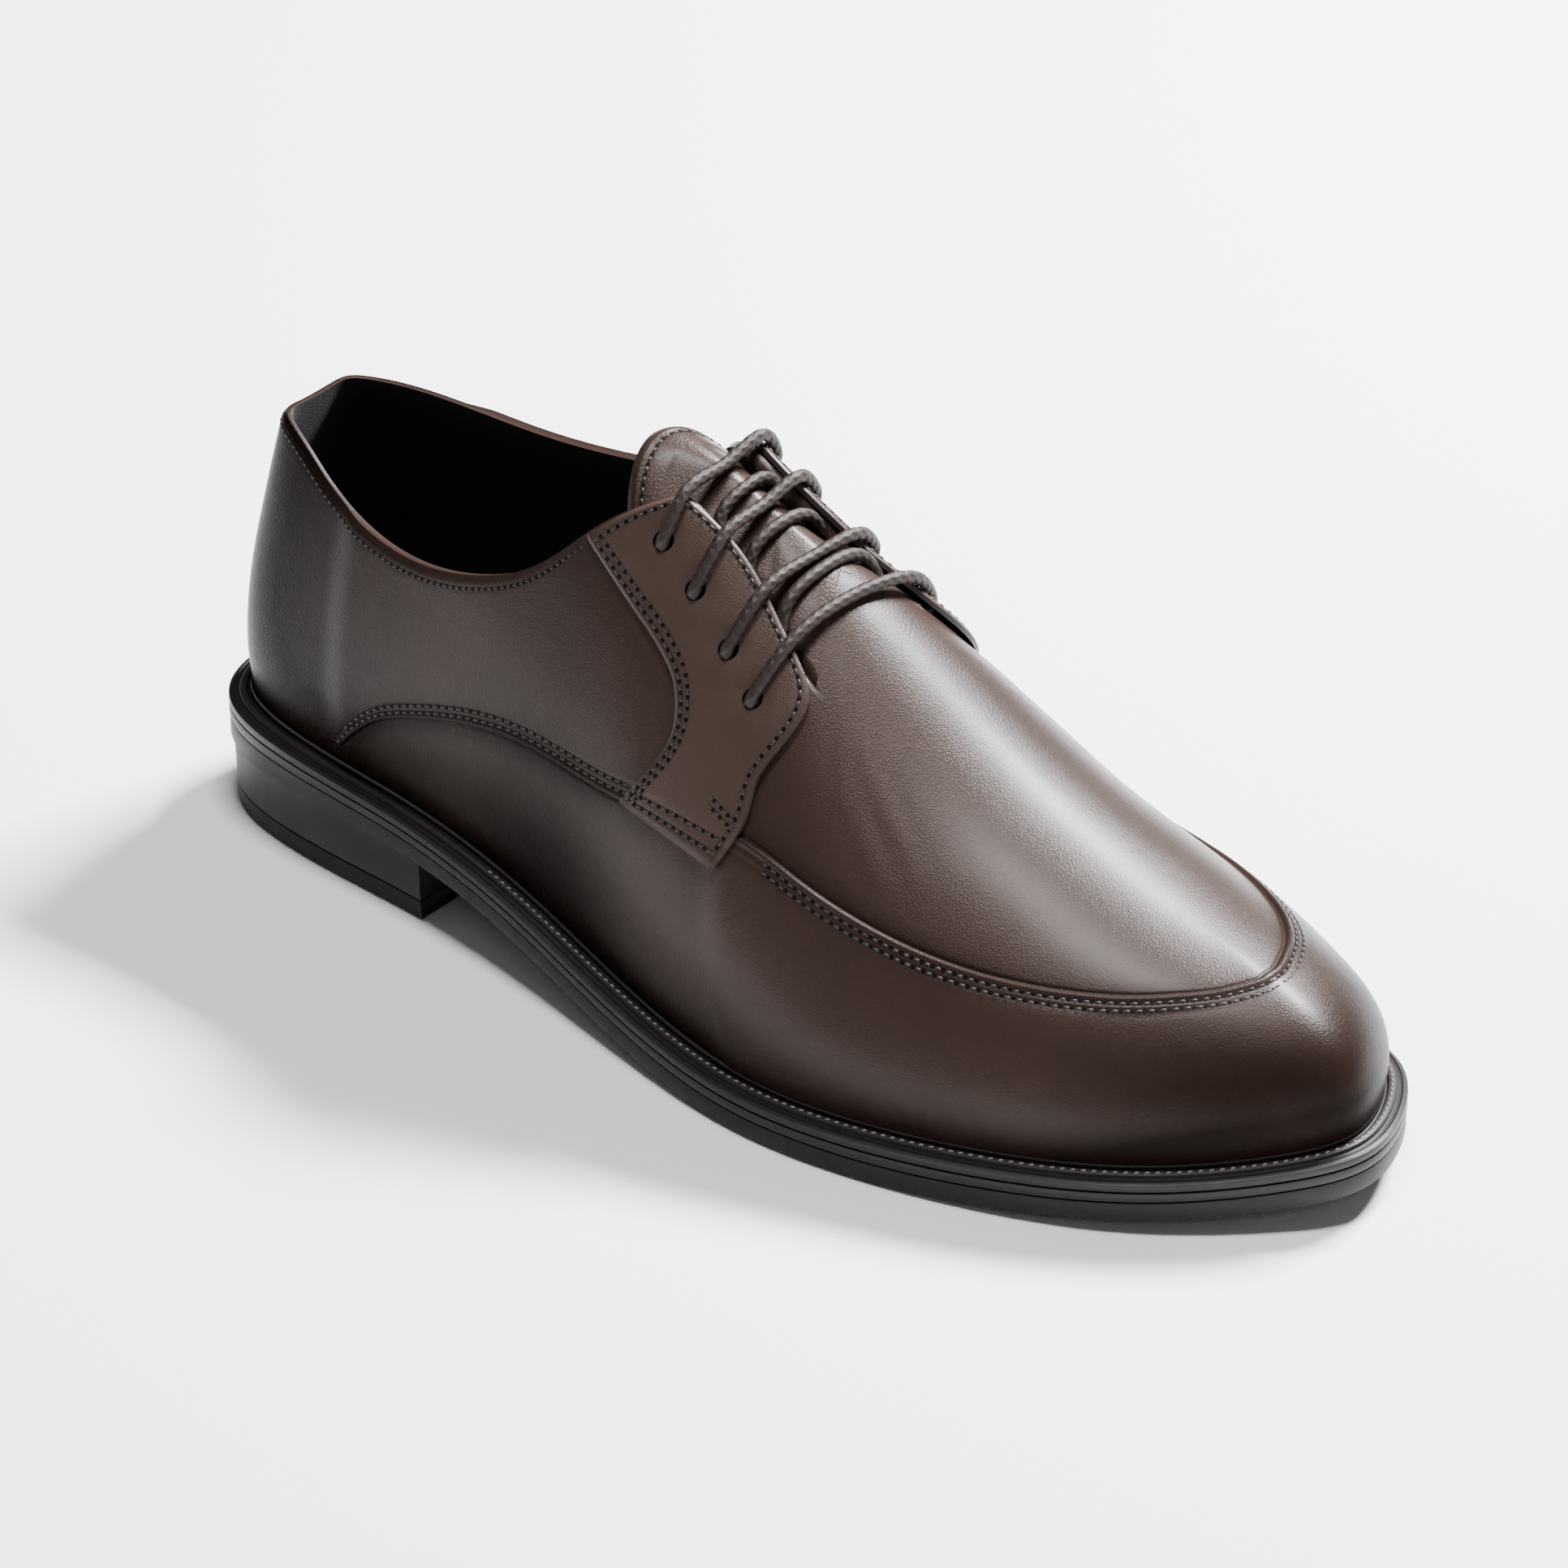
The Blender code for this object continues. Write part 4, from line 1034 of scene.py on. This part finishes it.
def tongue_row(u):
    """A row of points across the tongue, their s and how far they lie past the facings' edges."""
    w = np.linspace(0.0, 0.5, TONGUE_SIDE_POINTS)
    top_s = TONGUE_TOP_EDGE + TONGUE_TOP_BOW * (2.0 * w) ** 0.7
    s = TONGUE_FRONT + (top_s - TONGUE_FRONT) * u
    edge_v = TONGUE_EDGE_LOW + (TONGUE_EDGE_HIGH - TONGUE_EDGE_LOW) * u
    v = np.linspace(edge_v, TONGUE_ARCH_V, TONGUE_SIDE_POINTS)
    left, right = (
        last_offset(ring_place(s, medial), v, np.full(s.shape, TONGUE_SINK)) for medial in (False, True)
    )
    s_top = TONGUE_FRONT + (TONGUE_TOP_EDGE + TONGUE_TOP_BOW - TONGUE_FRONT) * u
    ridge_x = float(SECTION_TOP_X(s_top))
    crest = np.array([ridge_x, float(RIDGE_Y(ridge_x)), float(RIDGE_Z(ridge_x)) + TONGUE_SINK])
    left_way = unit(left[-1] - left[-2])
    right_way = unit(right[-1] - right[-2])
    middle = (left[-1] + right[-1]) / 2.0
    reach = (crest[2] - middle[2]) / (0.375 * (left_way[2] + right_way[2]))
    to_crest = (crest - middle - 0.375 * reach * (left_way + right_way)) / 0.75
    left_hold = left[-1] + reach * left_way + to_crest
    right_hold = right[-1] + reach * right_way + to_crest
    t = np.linspace(0.0, 1.0, TONGUE_ARCH_STEPS + 1)[1:-1, None]
    o = 1.0 - t
    arch = o**3 * left[-1] + 3.0 * o**2 * t * left_hold + 3.0 * o * t**2 * right_hold + t**3 * right[-1]
    closed = float(ease(s_top, TONGUE_CROWN_FROM, TONGUE_CROWN_FULL))
    turn = np.where(t[:, 0] > 0.5, 2.0 - s_top, s_top)
    level = TONGUE_ARCH_V + (1.0 - TONGUE_ARCH_V) * (1.0 - np.abs(2.0 * t[:, 0] - 1.0))
    crown = last_offset(turn, level, np.full(len(turn), TONGUE_SINK))
    arch = (1.0 - closed) * arch + closed * crown
    from_edge = []
    for medial in (False, True):
        per_v = section_length(float(ring_place(s[-1], medial)))
        from_edge.append((v - np.interp(s, EDGE_PLACES, EDGE_LEVELS[medial])) * per_v)
    steps = np.linalg.norm(np.diff(np.concatenate([left[-1:], arch, right[-1:]]), axis=0), axis=1)
    way = np.cumsum(steps)
    on_arch = np.minimum(from_edge[0][-1] + way[:-1], from_edge[1][-1] + way[-1] - way[:-1])
    return (
        np.concatenate([left, arch, right[::-1]]),
        np.concatenate([s, np.full(len(arch), s_top), s[::-1]]),
        np.concatenate([from_edge[0], on_arch, from_edge[1][::-1]]),
    )


def build_tongue(look, lining, thread, dark):
    """Tongue on the CAD's places, flush with the vamp at the throat and rolled at its top."""
    rows = TONGUE_ROWS
    grid, places, past_edge = zip(*(tongue_row(u) for u in np.linspace(0.0, 1.0, rows)))
    grid = np.array(grid)
    ahead = np.gradient(grid, axis=0)
    across = np.gradient(grid, axis=1)
    normal = unit(np.cross(across, ahead))
    if normal[rows // 2, grid.shape[1] // 2, 2] < 0.0:
        normal = -normal
    up_way = np.linalg.norm(np.diff(grid, axis=0), axis=2)
    from_top = np.flip(np.cumsum(np.flip(np.concatenate([up_way, 0.0 * up_way[:1]]), 0), 0), 0)
    side_way = np.linalg.norm(np.diff(grid, axis=1), axis=2)
    left_way = np.concatenate([0.0 * side_way[:, :1], np.cumsum(side_way, axis=1)], axis=1)
    from_side = np.minimum(left_way, left_way[:, -1:] - left_way)
    near = np.minimum(from_top, from_side)
    x = grid[..., 0]
    y = grid[..., 1]
    lift = -0.9 * np.exp(-(near / 1.1) ** 1.5) - 0.15 * np.exp(-((near - 3.0) / 0.45) ** 2)
    lift = lift + 0.30 * np.exp(-((near - 1.6) / 1.0) ** 2)
    lift = lift + flush_lift(np.array(places)) * ease(np.array(past_edge), -1.0, 1.6)
    lift = lift + 0.02 * np.sin(x * 0.45 + 0.25 * y) * np.exp(-((x - 126.0) / 9.0) ** 2)
    outer = grid + normal * lift[..., None]
    inner = grid - normal * TONGUE_THICKNESS
    count = grid.shape[1]
    tone = np.clip(0.35 * np.exp(-(near / 3.0) ** 2), 0.0, 1.0)
    made = make_sheet("tongue_leather", outer, inner, [look, lining], 0, tone, 55.0, True)
    row = rows - 1 - int(np.argmax(from_top[::-1, count // 2] > TONGUE_STITCH_INSET))
    left_column = int(np.argmax(left_way[row] > TONGUE_STITCH_INSET))
    right_column = count - left_column - 1
    line = [(i, left_column) for i in range(rows // 2, row)]
    line += [(row, j) for j in range(left_column, right_column + 1)]
    line += [(i, right_column) for i in range(row, rows // 2, -1)]
    points = [outer[place] for place in line]
    normals = [normal[place] for place in line]
    stitch_row("tongue_stitches", points, normals, thread, 2.4, 1.8, 0.6)
    hole_row("tongue_stitches_holes", points, normals, dark, 2.4)
    return made


SOLE_SHARP = 35.0
HALF_ROUND = np.linspace(0.0, 1.0, 201)
SOLE_RING = np.concatenate([HALF_ROUND, 2.0 - HALF_ROUND[-2:0:-1]])


def cap_faces(start, count, spans):
    """Quads across a ring of points, from one side of the sole to the other."""
    faces = []
    for i in range(spans):
        near, far = start + (count - i) % count, start + (count - i - 1) % count
        corners = list(dict.fromkeys([start + i, start + i + 1, far, near]))
        if len(corners) > 2:
            faces.append(corners)
    return faces


def sole_ring_mesh(name, profile, looks, look_of_row):
    """A plate of the sole as rows round its edge; each row is an inset and a height function."""
    points = []
    for inset, height in profile:
        x, y = rim(SOLE_RING, inset)
        points.append(np.stack([x, y, height(SOLE_X(SOLE_RING))], -1))
    count = len(SOLE_RING)
    faces = grid_faces(len(profile), count, True)[:, ::-1].tolist()
    marks = np.repeat(look_of_row, count).tolist()
    top = cap_faces(0, count, count // 2)
    bottom = cap_faces((len(profile) - 1) * count, count, count // 2)
    faces += top + [corners[::-1] for corners in bottom]
    marks += [look_of_row[0]] * len(top) + [look_of_row[-1]] * len(bottom)
    made = make_object(name, np.concatenate(points), faces, looks, marks, None, SOLE_SHARP)
    face_outwards(made)
    return made


def rounded(points, radius=0.3, steps=3):
    """A profile of (inset, rise) with its corners rounded."""
    result = [points[0]]
    for k in range(1, len(points) - 1):
        before, here, after = (np.array(points[k + d], float) for d in (-1, 0, 1))
        a = min(radius, 0.45 * np.linalg.norm(before - here))
        b = min(radius, 0.45 * np.linalg.norm(after - here))
        start = here + unit(before - here) * a
        end = here + unit(after - here) * b
        for t in np.linspace(0.0, 1.0, steps):
            result.append(tuple((1 - t) ** 2 * start + 2 * (1 - t) * t * here + t * t * end))
    result.append(points[-1])
    return result


def layer_height(share, lift):
    """Height of a layer's face: a share of the way down the sole's edge, and a lift."""
    def height(x):
        top = RIM_Z(x)
        return top - share * (top - underside_z(x)) + lift
    return height


# The welt's top from the upper outwards: lip, groove, stitched strip, edge (inset, rise)
WELT_PROFILE = [
    (9.5, 1.25), (5.9, 1.25), (5.6, 2.1), (5.05, 2.05), (4.85, 0.50), (4.35, 0.42), (4.1, 1.05),
    (3.4, 1.10), (2.6, 0.90), (2.3, 0.15), (1.2, 0.10), (1.05, 0.28), (0.0, 0.0),
]
STRIP_INSETS = (2.6, 4.1)
WELT_ROUNDING = 0.16
WELT_STITCH_FROM = 0.36
WELT_STITCH_INSET = 3.35
WELT_STITCH_RISE = 1.08

# The welt's rim from the top down: inset, share of the way down, rise
WELT_RIM = [
    (0.30, 0.0, 0.02), (0.08, 0.0, -0.10), (0.0, 0.0, -0.35),
    (0.0, WELT_SHARE, 0.35), (0.08, WELT_SHARE, 0.08), (0.40, WELT_SHARE, 0.0),
]

# Edges of the other layers from the top down: further inset, which face (0 top, 1 bottom), rise
LAYER_PROFILE = [
    (0.45, 0, 0.0), (0.10, 0, -0.08), (0.0, 0, -0.35), (0.0, 1, 0.40), (0.10, 1, 0.10), (0.45, 1, 0.0),
]

# Edge of the heel's pieces: share of the way down, further inset, distance from the face
HEEL_PROFILE = [
    (0.0, 0.45, 0.0), (0.0, 0.1, 0.1), (0.0, 0.0, 0.4),
    (1.0, 0.0, 0.4), (1.0, 0.1, 0.1), (1.0, 0.45, 0.0),
]
HEEL_TAPER = 0.3


def build_heel_piece(name, top, bottom, inset_top, look):
    """Heel block or top lift, cut straight at the heel's breast."""
    s_breast = float(np.interp(HEEL_LENGTH, SOLE_X(np.linspace(0, 1, 400)), np.linspace(0, 1, 400)))
    half = np.linspace(0.0, s_breast, 120)
    ring = np.concatenate([half, 2.0 - half[:0:-1]])
    rows = []
    for share, extra, from_face in HEEL_PROFILE:
        x, y = rim(ring, inset_top + HEEL_TAPER * share + extra)
        limit = HEEL_LENGTH - extra
        x = np.minimum(x, limit)
        x[len(half) - 1 : len(half) + 1] = limit
        z = top(x) - from_face if share == 0.0 else bottom(x) + from_face
        rows.append(np.stack([x, y, z], -1))
    count = len(ring)
    faces = grid_faces(len(rows), count, True).tolist()
    for start in (0, (len(rows) - 1) * count):
        faces += cap_faces(start, count, len(half) - 1)
    piece = make_object(name, np.concatenate(rows), faces, [look], None, None, SOLE_SHARP)
    face_outwards(piece)
    return piece


def build_sole(edge, rubber, lift_look, strip, light_thread):
    """Finer welt, midsole, outsole, heel block and top lift on the CAD's own profiles."""
    welt = rounded(WELT_PROFILE, WELT_ROUNDING)[:-1]
    profile = [(inset, layer_height(0.0, rise)) for inset, rise in welt]
    profile += [(inset, layer_height(share, rise)) for inset, share, rise in WELT_RIM]
    middles = [(above[0] + below[0]) / 2.0 for above, below in zip(profile, profile[1:])]
    rows = [int(STRIP_INSETS[0] < inset < STRIP_INSETS[1]) for inset in middles]
    made = [sole_ring_mesh("welt_edge", profile, [edge, strip], rows)]
    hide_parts("welt")
    for name, node, top, bottom, inset, look in (
        ("midsole_edge", "midsole", WELT_SHARE, MIDSOLE_SHARE, 0.0, edge),
        ("outsole_edge", "outsole", MIDSOLE_SHARE, 1.0, 0.15, rubber),
    ):
        profile = [
            (inset + extra, layer_height((top, bottom)[face], rise - (GAP, 0.0)[face]))
            for extra, face, rise in LAYER_PROFILE
        ]
        made.append(sole_ring_mesh(name, profile, [look], [0] * (len(profile) - 1)))
        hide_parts(node)
    for name, node, top, bottom, inset_top, look in (
        ("heel_block_side", "heel_block", lambda x: underside_z(x) - GAP,
         lambda x: 0.0 * x + TOP_LIFT + GAP, HEEL_BLOCK_INSET, rubber),
        ("top_lift_side", "top_lift", lambda x: 0.0 * x + TOP_LIFT, lambda x: 0.0 * x,
         TOP_LIFT_INSET, lift_look),
    ):
        made.append(build_heel_piece(name, top, bottom, inset_top, look))
        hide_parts(node)
    half = np.linspace(WELT_STITCH_FROM, 1.0, 200)
    way = np.concatenate([half, 2.0 - half[-2::-1]])
    x, y = rim(way, WELT_STITCH_INSET)
    points = np.stack([x, y, RIM_Z(SOLE_X(way)) + WELT_STITCH_RISE], -1)
    normals = np.tile([0.0, 0.0, 1.0], (len(points), 1))
    stitch_row("welt_stitches", points, normals, light_thread, 2.2, 1.45, 0.55, 0.02, 0.25)
    return made


def spline_through(stops, count):
    """Points of a smooth curve through stops."""
    stops = np.array(stops, float)
    steps = step_lengths(stops)
    way = np.concatenate([[0.0], np.cumsum(steps)])
    rows = [(way[k], *stops[k]) for k in range(len(stops))]
    places = np.linspace(0.0, way[-1], count)
    return np.stack([smooth_line(rows, ("way", "x", "y", "z"), axis)(places) for axis in "xyz"], -1)


CORD_SIDES = 28
BRAID_TURNS = 2.3


def cord_mesh(path, name, look):
    """Round braided cord along a path, its strands a little proud, and its length."""
    points = []
    ahead = unit(np.gradient(path, axis=0))
    side = np.cross(ahead[0], [0.3, 0.1, 1.0])
    way = 0.0
    for k in range(len(path)):
        if k:
            way += float(np.linalg.norm(path[k] - path[k - 1]))
        side = unit(side - ahead[k] * np.dot(side, ahead[k]))
        other = np.cross(ahead[k], side)
        for a in range(CORD_SIDES):
            angle = 2.0 * math.pi * a / CORD_SIDES
            one = math.cos(4.0 * angle + way * BRAID_TURNS)
            two = math.cos(4.0 * angle - way * BRAID_TURNS)
            weave = max(one, two) if one * two < 0.4 else 0.5 * (one + two)
            reach = LACE_RADIUS * (0.93 + 0.09 * weave)
            points.append(path[k] + reach * (math.cos(angle) * side + math.sin(angle) * other))
    return make_object(name, points, tube_faces(len(path), CORD_SIDES, 0), [look]), way


def place_on(s, v, medial, height):
    """A point a height outside the last."""
    return last_offset(np.array(ring_place(s, medial)), np.array(v), np.array(float(height)))


def lace_end(place, level, edge_s, medial):
    """Points of a bar from deep in its eyelet over the facing to the facing's edge."""
    over = EYESTAY_OVER + LACE_RADIUS
    edge = place_on(edge_s, topline_v(ring_place(edge_s, medial)), medial, over + 0.1)
    mouth = place_on(place, level, medial, EYESTAY_OVER + 0.1)
    toward = unit(edge - mouth)
    deep = place_on(place, level, medial, -2.0) - 0.9 * toward
    mouth = mouth - 0.5 * toward
    rise_s = place + 0.30 * (edge_s - place)
    upwards = place_on(rise_s, level, medial, over - 0.1) - place_on(rise_s, level, medial, EYESTAY_OVER)
    return [deep, mouth, mouth + 3.2 * toward + 0.62 * upwards, edge]


def lace_path(left, right, least_z, count):
    """Points of a smooth crossing from one side to the other, its middle no lower than a height."""
    middle = (left[-1] + right[-1]) / 2.0
    middle[2] = least_z(middle)
    return spline_through(left + [middle] + right[::-1], count)


def build_lace(look):
    """Four bars that dive into the eyelets and three crossings under the facings."""
    paths = []
    for k, (s, v, medial_s, medial_v, left_s, right_s, over_ridge) in enumerate(EYELETS):
        left = lace_end(s, v, left_s, False)
        right = lace_end(medial_s, medial_v, right_s, True)
        path = lace_path(left, right, lambda p: max(p[2] - 0.1, float(RIDGE_Z(p[0])) + over_ridge), 150)
        paths.append(("lace_over_%d" % (k + 1), "lace_bar_%d" % (k + 1), path))
    under = TONGUE_SINK + LACE_RADIUS + 0.25
    for k, s in enumerate(UNDER_CROSSINGS):
        shown_height = under + float(flush_lift(np.array(s)))
        ends = []
        for medial in (False, True):
            edge_v = topline_v(ring_place(s, medial))
            hidden = place_on(s, edge_v - 0.045, medial, under - 1.9)
            ends.append([hidden, place_on(s, edge_v + 0.030, medial, shown_height + 0.1)])
        path = lace_path(*ends, lambda p: max(p[2], float(RIDGE_Z(p[0])) + shown_height), 80)
        paths.append(("lace_inner_%d" % (k + 1), "lace_under_%d" % (k + 1), path))
    pieces = []
    total = 0.0
    for name, node, path in paths:
        piece, length = cord_mesh(path, name, look)
        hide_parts(node)
        total += length
        pieces.append(piece)
    print("lace length in mm", round(total))
    return pieces


# Rows of stitches beside the seam round the shoe: kind, number, distance in mm, from s, to s, side
SEAM_STITCHES = [
    ("apron", 1, SEAM_ROWS[0], 0.622, 1.0, -1.0),
    ("apron", 2, SEAM_ROWS[1], 0.622, 1.0, -1.0),
    ("quarter", 1, SEAM_ROWS[0], 0.212, 0.505, 1.0),
    ("quarter", 2, SEAM_ROWS[1], 0.222, 0.505, 1.0),
]
ON_FACING = EYESTAY_OVER - 0.06


def mm_in_v(s, medial, every):
    """How much v a millimetre is at places s, measured at every so many of them."""
    known = [1.0 / section_length(float(place)) for place in ring_place(s, medial)[::every]]
    places = np.arange(len(s))
    return np.interp(places, places[::every], known)


def sew_side(side, thread, dark):
    """Stitches of the seams on one side of the upper and on its facing."""
    medial = side == "medial"

    def sew(name, s, v, height=ON_FACING, pitch=2.4, length=1.8, width=0.6):
        sewn_line(name, ring_place(s, medial), v, height, thread, dark, pitch, length, width)

    for kind, number, distance, start, end, sign in SEAM_STITCHES:
        s = np.linspace(start, end, 160)
        v = seam_line(s) + sign * distance * mm_in_v(s, medial, 8)
        sew("%s_stitches_%s_%d" % (kind, side, number), s, v, STEP - 0.08, 2.5, 1.85)
    t = np.linspace(0.03, 0.985, 120)
    width = stay_width(t, medial)
    length = stay_length(medial)
    for k, row in enumerate(FACING_ROWS):
        sew("facing_rear_stitches_%s_%d" % (side, k + 1), *stay_place(t, row / width, medial))
    sew("facing_front_stitches_" + side, *stay_place(t, 1.0 - FACING_FRONT_ROW / width, medial))
    w = np.linspace(0.06, 0.94, 60)
    for k, row in enumerate(FACING_ROWS):
        sew("facing_foot_stitches_%s_%d" % (side, k + 1), *stay_place(1.0 - row / length, w, medial))
    w = np.linspace(0.04, 0.97, 60)
    sew("facing_top_stitches_" + side, *stay_place(FACING_TOP_ROW / length, w, medial))
    s = np.linspace(0.0, 0.445, 140)
    edge = np.array([topline_v(float(place)) for place in ring_place(s, medial)])
    v = edge - COLLAR_ROW * mm_in_v(s, medial, 7)
    sew("collar_stitches_" + side, s, v, STEP * ease(s, 0.195, 0.225) - 0.05, 1.9, 1.35, 0.45)
    s = np.linspace(0.578, 0.602, 20)
    for k, row in enumerate((-0.8, 0.8)):
        v = 0.455 - (s - 0.578) * 0.55 + row * 0.008
        sew("facing_tack_%s_%d" % (side, k + 1), s, v, EYESTAY_OVER, 2.2, 1.7)


def stay_width(t, medial):
    """The facing's width in mm at places t down it."""
    s, v = stay_place(t[None, :], np.linspace(0.0, 1.0, 12)[:, None], medial)
    points = last_offset(ring_place(s, medial), v, np.zeros(s.shape))
    return np.linalg.norm(np.diff(points, axis=0), axis=2).sum(0)


def stay_length(medial):
    """Length of the facing down its middle in mm."""
    s, v = stay_place(np.linspace(0.0, 1.0, 60), 0.5, medial)
    points = last_offset(ring_place(s, medial), v, np.zeros(s.shape))
    return float(step_lengths(points).sum())


VIEW_AZIMUTH = 36.99
VIEW_ELEVATION = 29.32
VIEW_DISTANCE = 1700.0
VIEW_FOCUS = 8179.98
VIEW_MIDDLE = (784.09, 1197.11)
FRAME_HALF = 966.0


def build_camera():
    """The photograph's station point, turned to centre the one shoe."""
    a = math.radians(VIEW_AZIMUTH)
    e = math.radians(VIEW_ELEVATION)
    back = np.array([math.sin(a) * math.cos(e), -math.cos(a) * math.cos(e), math.sin(e)])
    right = np.array([math.cos(a), math.sin(a), 0.0])
    up = np.cross(back, right)
    middle = np.array([150.0, 0.0, 40.0])
    scale = VIEW_DISTANCE / VIEW_FOCUS
    aside = (VIEW_MIDDLE[0] - FRAME_HALF) * scale
    above = (VIEW_MIDDLE[1] - FRAME_HALF) * scale
    place = middle + back * VIEW_DISTANCE - right * aside + up * above
    target = np.array([150.0, 0.0, 47.0])
    data = bpy.data.cameras.new("camera")
    data.lens = 182.0
    data.sensor_width = 36.0
    data.clip_start = 0.05
    data.clip_end = 30.0
    data.dof.use_dof = False
    camera = bpy.data.objects.new("camera", data)
    bpy.context.scene.collection.objects.link(camera)
    where = mathutils.Vector(to_metres(place))
    aim = mathutils.Vector(to_metres(target)) - where
    camera.location = where
    camera.rotation_euler = aim.to_track_quat("-Z", "Y").to_euler()
    bpy.context.scene.camera = camera


def add_light(name, place, target, size, power, colour):
    """A soft rectangular light, in metres."""
    data = bpy.data.lights.new(name, "AREA")
    data.shape = "RECTANGLE"
    data.size, data.size_y = size
    data.energy = power
    data.color = colour
    light = bpy.data.objects.new(name, data)
    bpy.context.scene.collection.objects.link(light)
    light.location = place
    aim = mathutils.Vector(target) - mathutils.Vector(place)
    light.rotation_euler = aim.to_track_quat("-Z", "Y").to_euler()


def build_stage():
    """Plain pale floor and soft studio lights."""
    floor_look = new_material("floor", (0.97, 0.97, 0.97), 0.8, specular=0.0)
    mesh = bpy.data.meshes.new("floor")
    reach, below = 6.0, -0.0004
    corners = [(-reach, -reach), (reach, -reach), (reach, reach), (-reach, reach)]
    mesh.from_pydata([(x, y, below) for x, y in corners], [], [(0, 1, 2, 3)])
    mesh.materials.append(floor_look)
    floor = bpy.data.objects.new("floor", mesh)
    bpy.context.scene.collection.objects.link(floor)
    world = bpy.data.worlds.new("studio")
    world.use_nodes = True
    background = world.node_tree.nodes["Background"]
    background.inputs["Color"].default_value = (0.95, 0.97, 1.0, 1.0)
    background.inputs["Strength"].default_value = 0.12
    bpy.context.scene.world = world
    add_light("back_box", (0.16, 0.95, 1.15), (0.03, 0.0, 0.05), (0.46, 0.24), 130.0, (0.97, 0.98, 1.0))
    add_light("top_box", (0.12, -0.10, 1.75), (0.0, 0.0, 0.0), (0.50, 0.26), 30.0, (0.98, 0.99, 1.0))
    add_light("fill", (1.1, -1.2, 1.2), (0.0, 0.0, 0.05), (0.9, 0.5), 2.0, (1.0, 0.985, 0.97))


# Leathers: name, colour where burnished and painted shade, plain colour, roughness, grain per metre,
# depth of the grain
LEATHERS = [
    ("shoe_leather", (0.0060, 0.0033, 0.0025), (0.0340, 0.0200, 0.0160), 0.30, 2300.0, 0.00009),
    # The facing leather is the shoe leather made lighter: painted light, for the more light that falls
    # on the facings' upward-tilted tops
    ("facing_leather_lit", (0.0090, 0.0052, 0.0040), (0.0540, 0.0335, 0.0275), 0.31, 2300.0, 0.00009),
    ("tongue_leather_look", (0.0070, 0.0040, 0.0031), (0.0390, 0.0235, 0.0190), 0.28, 1800.0, 0.00012),
]


def give_bump(look, scale, detail, distance, strength):
    """Fine grain on a plain material."""
    feed(look, bump(look, noise_node(look, scale, detail), distance, strength), "Normal")


def set_look(node, look):
    """A better material on a CAD node that stays."""
    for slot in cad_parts[node].material_slots:
        slot.material = look


def main():
    upper_look, facing_lit_look, tongue_look = [leather(*row) for row in LEATHERS]
    cut_edge = new_material("cut_edge", (0.028, 0.020, 0.018), 0.45)
    lining = new_material("lining", (0.0045, 0.0042, 0.0045), 0.9, sheen=0.15, specular=0.2)
    give_bump(lining, 2500.0, 2.0, 0.0002, 0.5)
    thread = new_material("thread", (0.013, 0.0078, 0.0064), 0.55)
    # Needle holes: painted shade, a near-black colour on small discs over the holes
    dark = new_material("needle_hole_shade", (0.0030, 0.0022, 0.0020), 0.8, specular=0.1)
    light_thread = new_material("welt_thread", (0.15, 0.125, 0.11), 0.6)
    edge = new_material("sole_edge", (0.0090, 0.0070, 0.0063), 0.45, specular=0.25)
    strip = new_material("welt_strip", (0.013, 0.0098, 0.0088), 0.5, specular=0.3)
    rubber = new_material("sole_rubber", (0.0105, 0.0085, 0.0078), 0.5, specular=0.2)
    lift_look = new_material("top_lift_rubber", (0.0065, 0.0056, 0.0053), 0.6, specular=0.2)
    for look, scale in ((edge, 900.0), (strip, 1400.0), (rubber, 700.0), (lift_look, 1200.0)):
        rough = ramp(look, noise_node(look, 120.0, 4.0), -0.08, 0.10)
        base = shader_of(look).inputs["Roughness"].default_value
        feed(look, combine(look, "ADD", rough, base), "Roughness")
        give_bump(look, scale, 4.0, 0.00012, 0.35)
    cord_look = new_material("lace_cord", (0.050, 0.036, 0.031), 0.55, specular=0.3)
    speck = cell_node(cord_look, 2600.0)
    fleck = ramp(cord_look, speck, 1.0, 0.0, 0.03, 0.16)
    tone = blend_colour(cord_look, fleck, (0.020, 0.0125, 0.0100), (0.085, 0.064, 0.054))
    feed(cord_look, tone, "Base Color")
    give_bump(cord_look, 4000.0, 2.0, 0.00015, 0.5)

    build_camera()
    build_stage()
    punch = build_punch(dark)
    upper = build_upper(upper_look, lining)
    cut_eyelets(upper, punch)
    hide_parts("upper")
    for medial in (False, True):
        facing = build_eyestay(medial, facing_lit_look, cut_edge, punch)
        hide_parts("eyestay_medial" if medial else "eyestay_lateral")
    tongue = build_tongue(tongue_look, lining, thread, dark)
    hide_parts("tongue")
    for piece in build_sole(edge, rubber, lift_look, strip, light_thread):
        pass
    for piece in build_lace(cord_look):
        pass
    for side in ("lateral", "medial"):
        sew_side(side, thread, dark)
    set_look("insole", lining)


main()
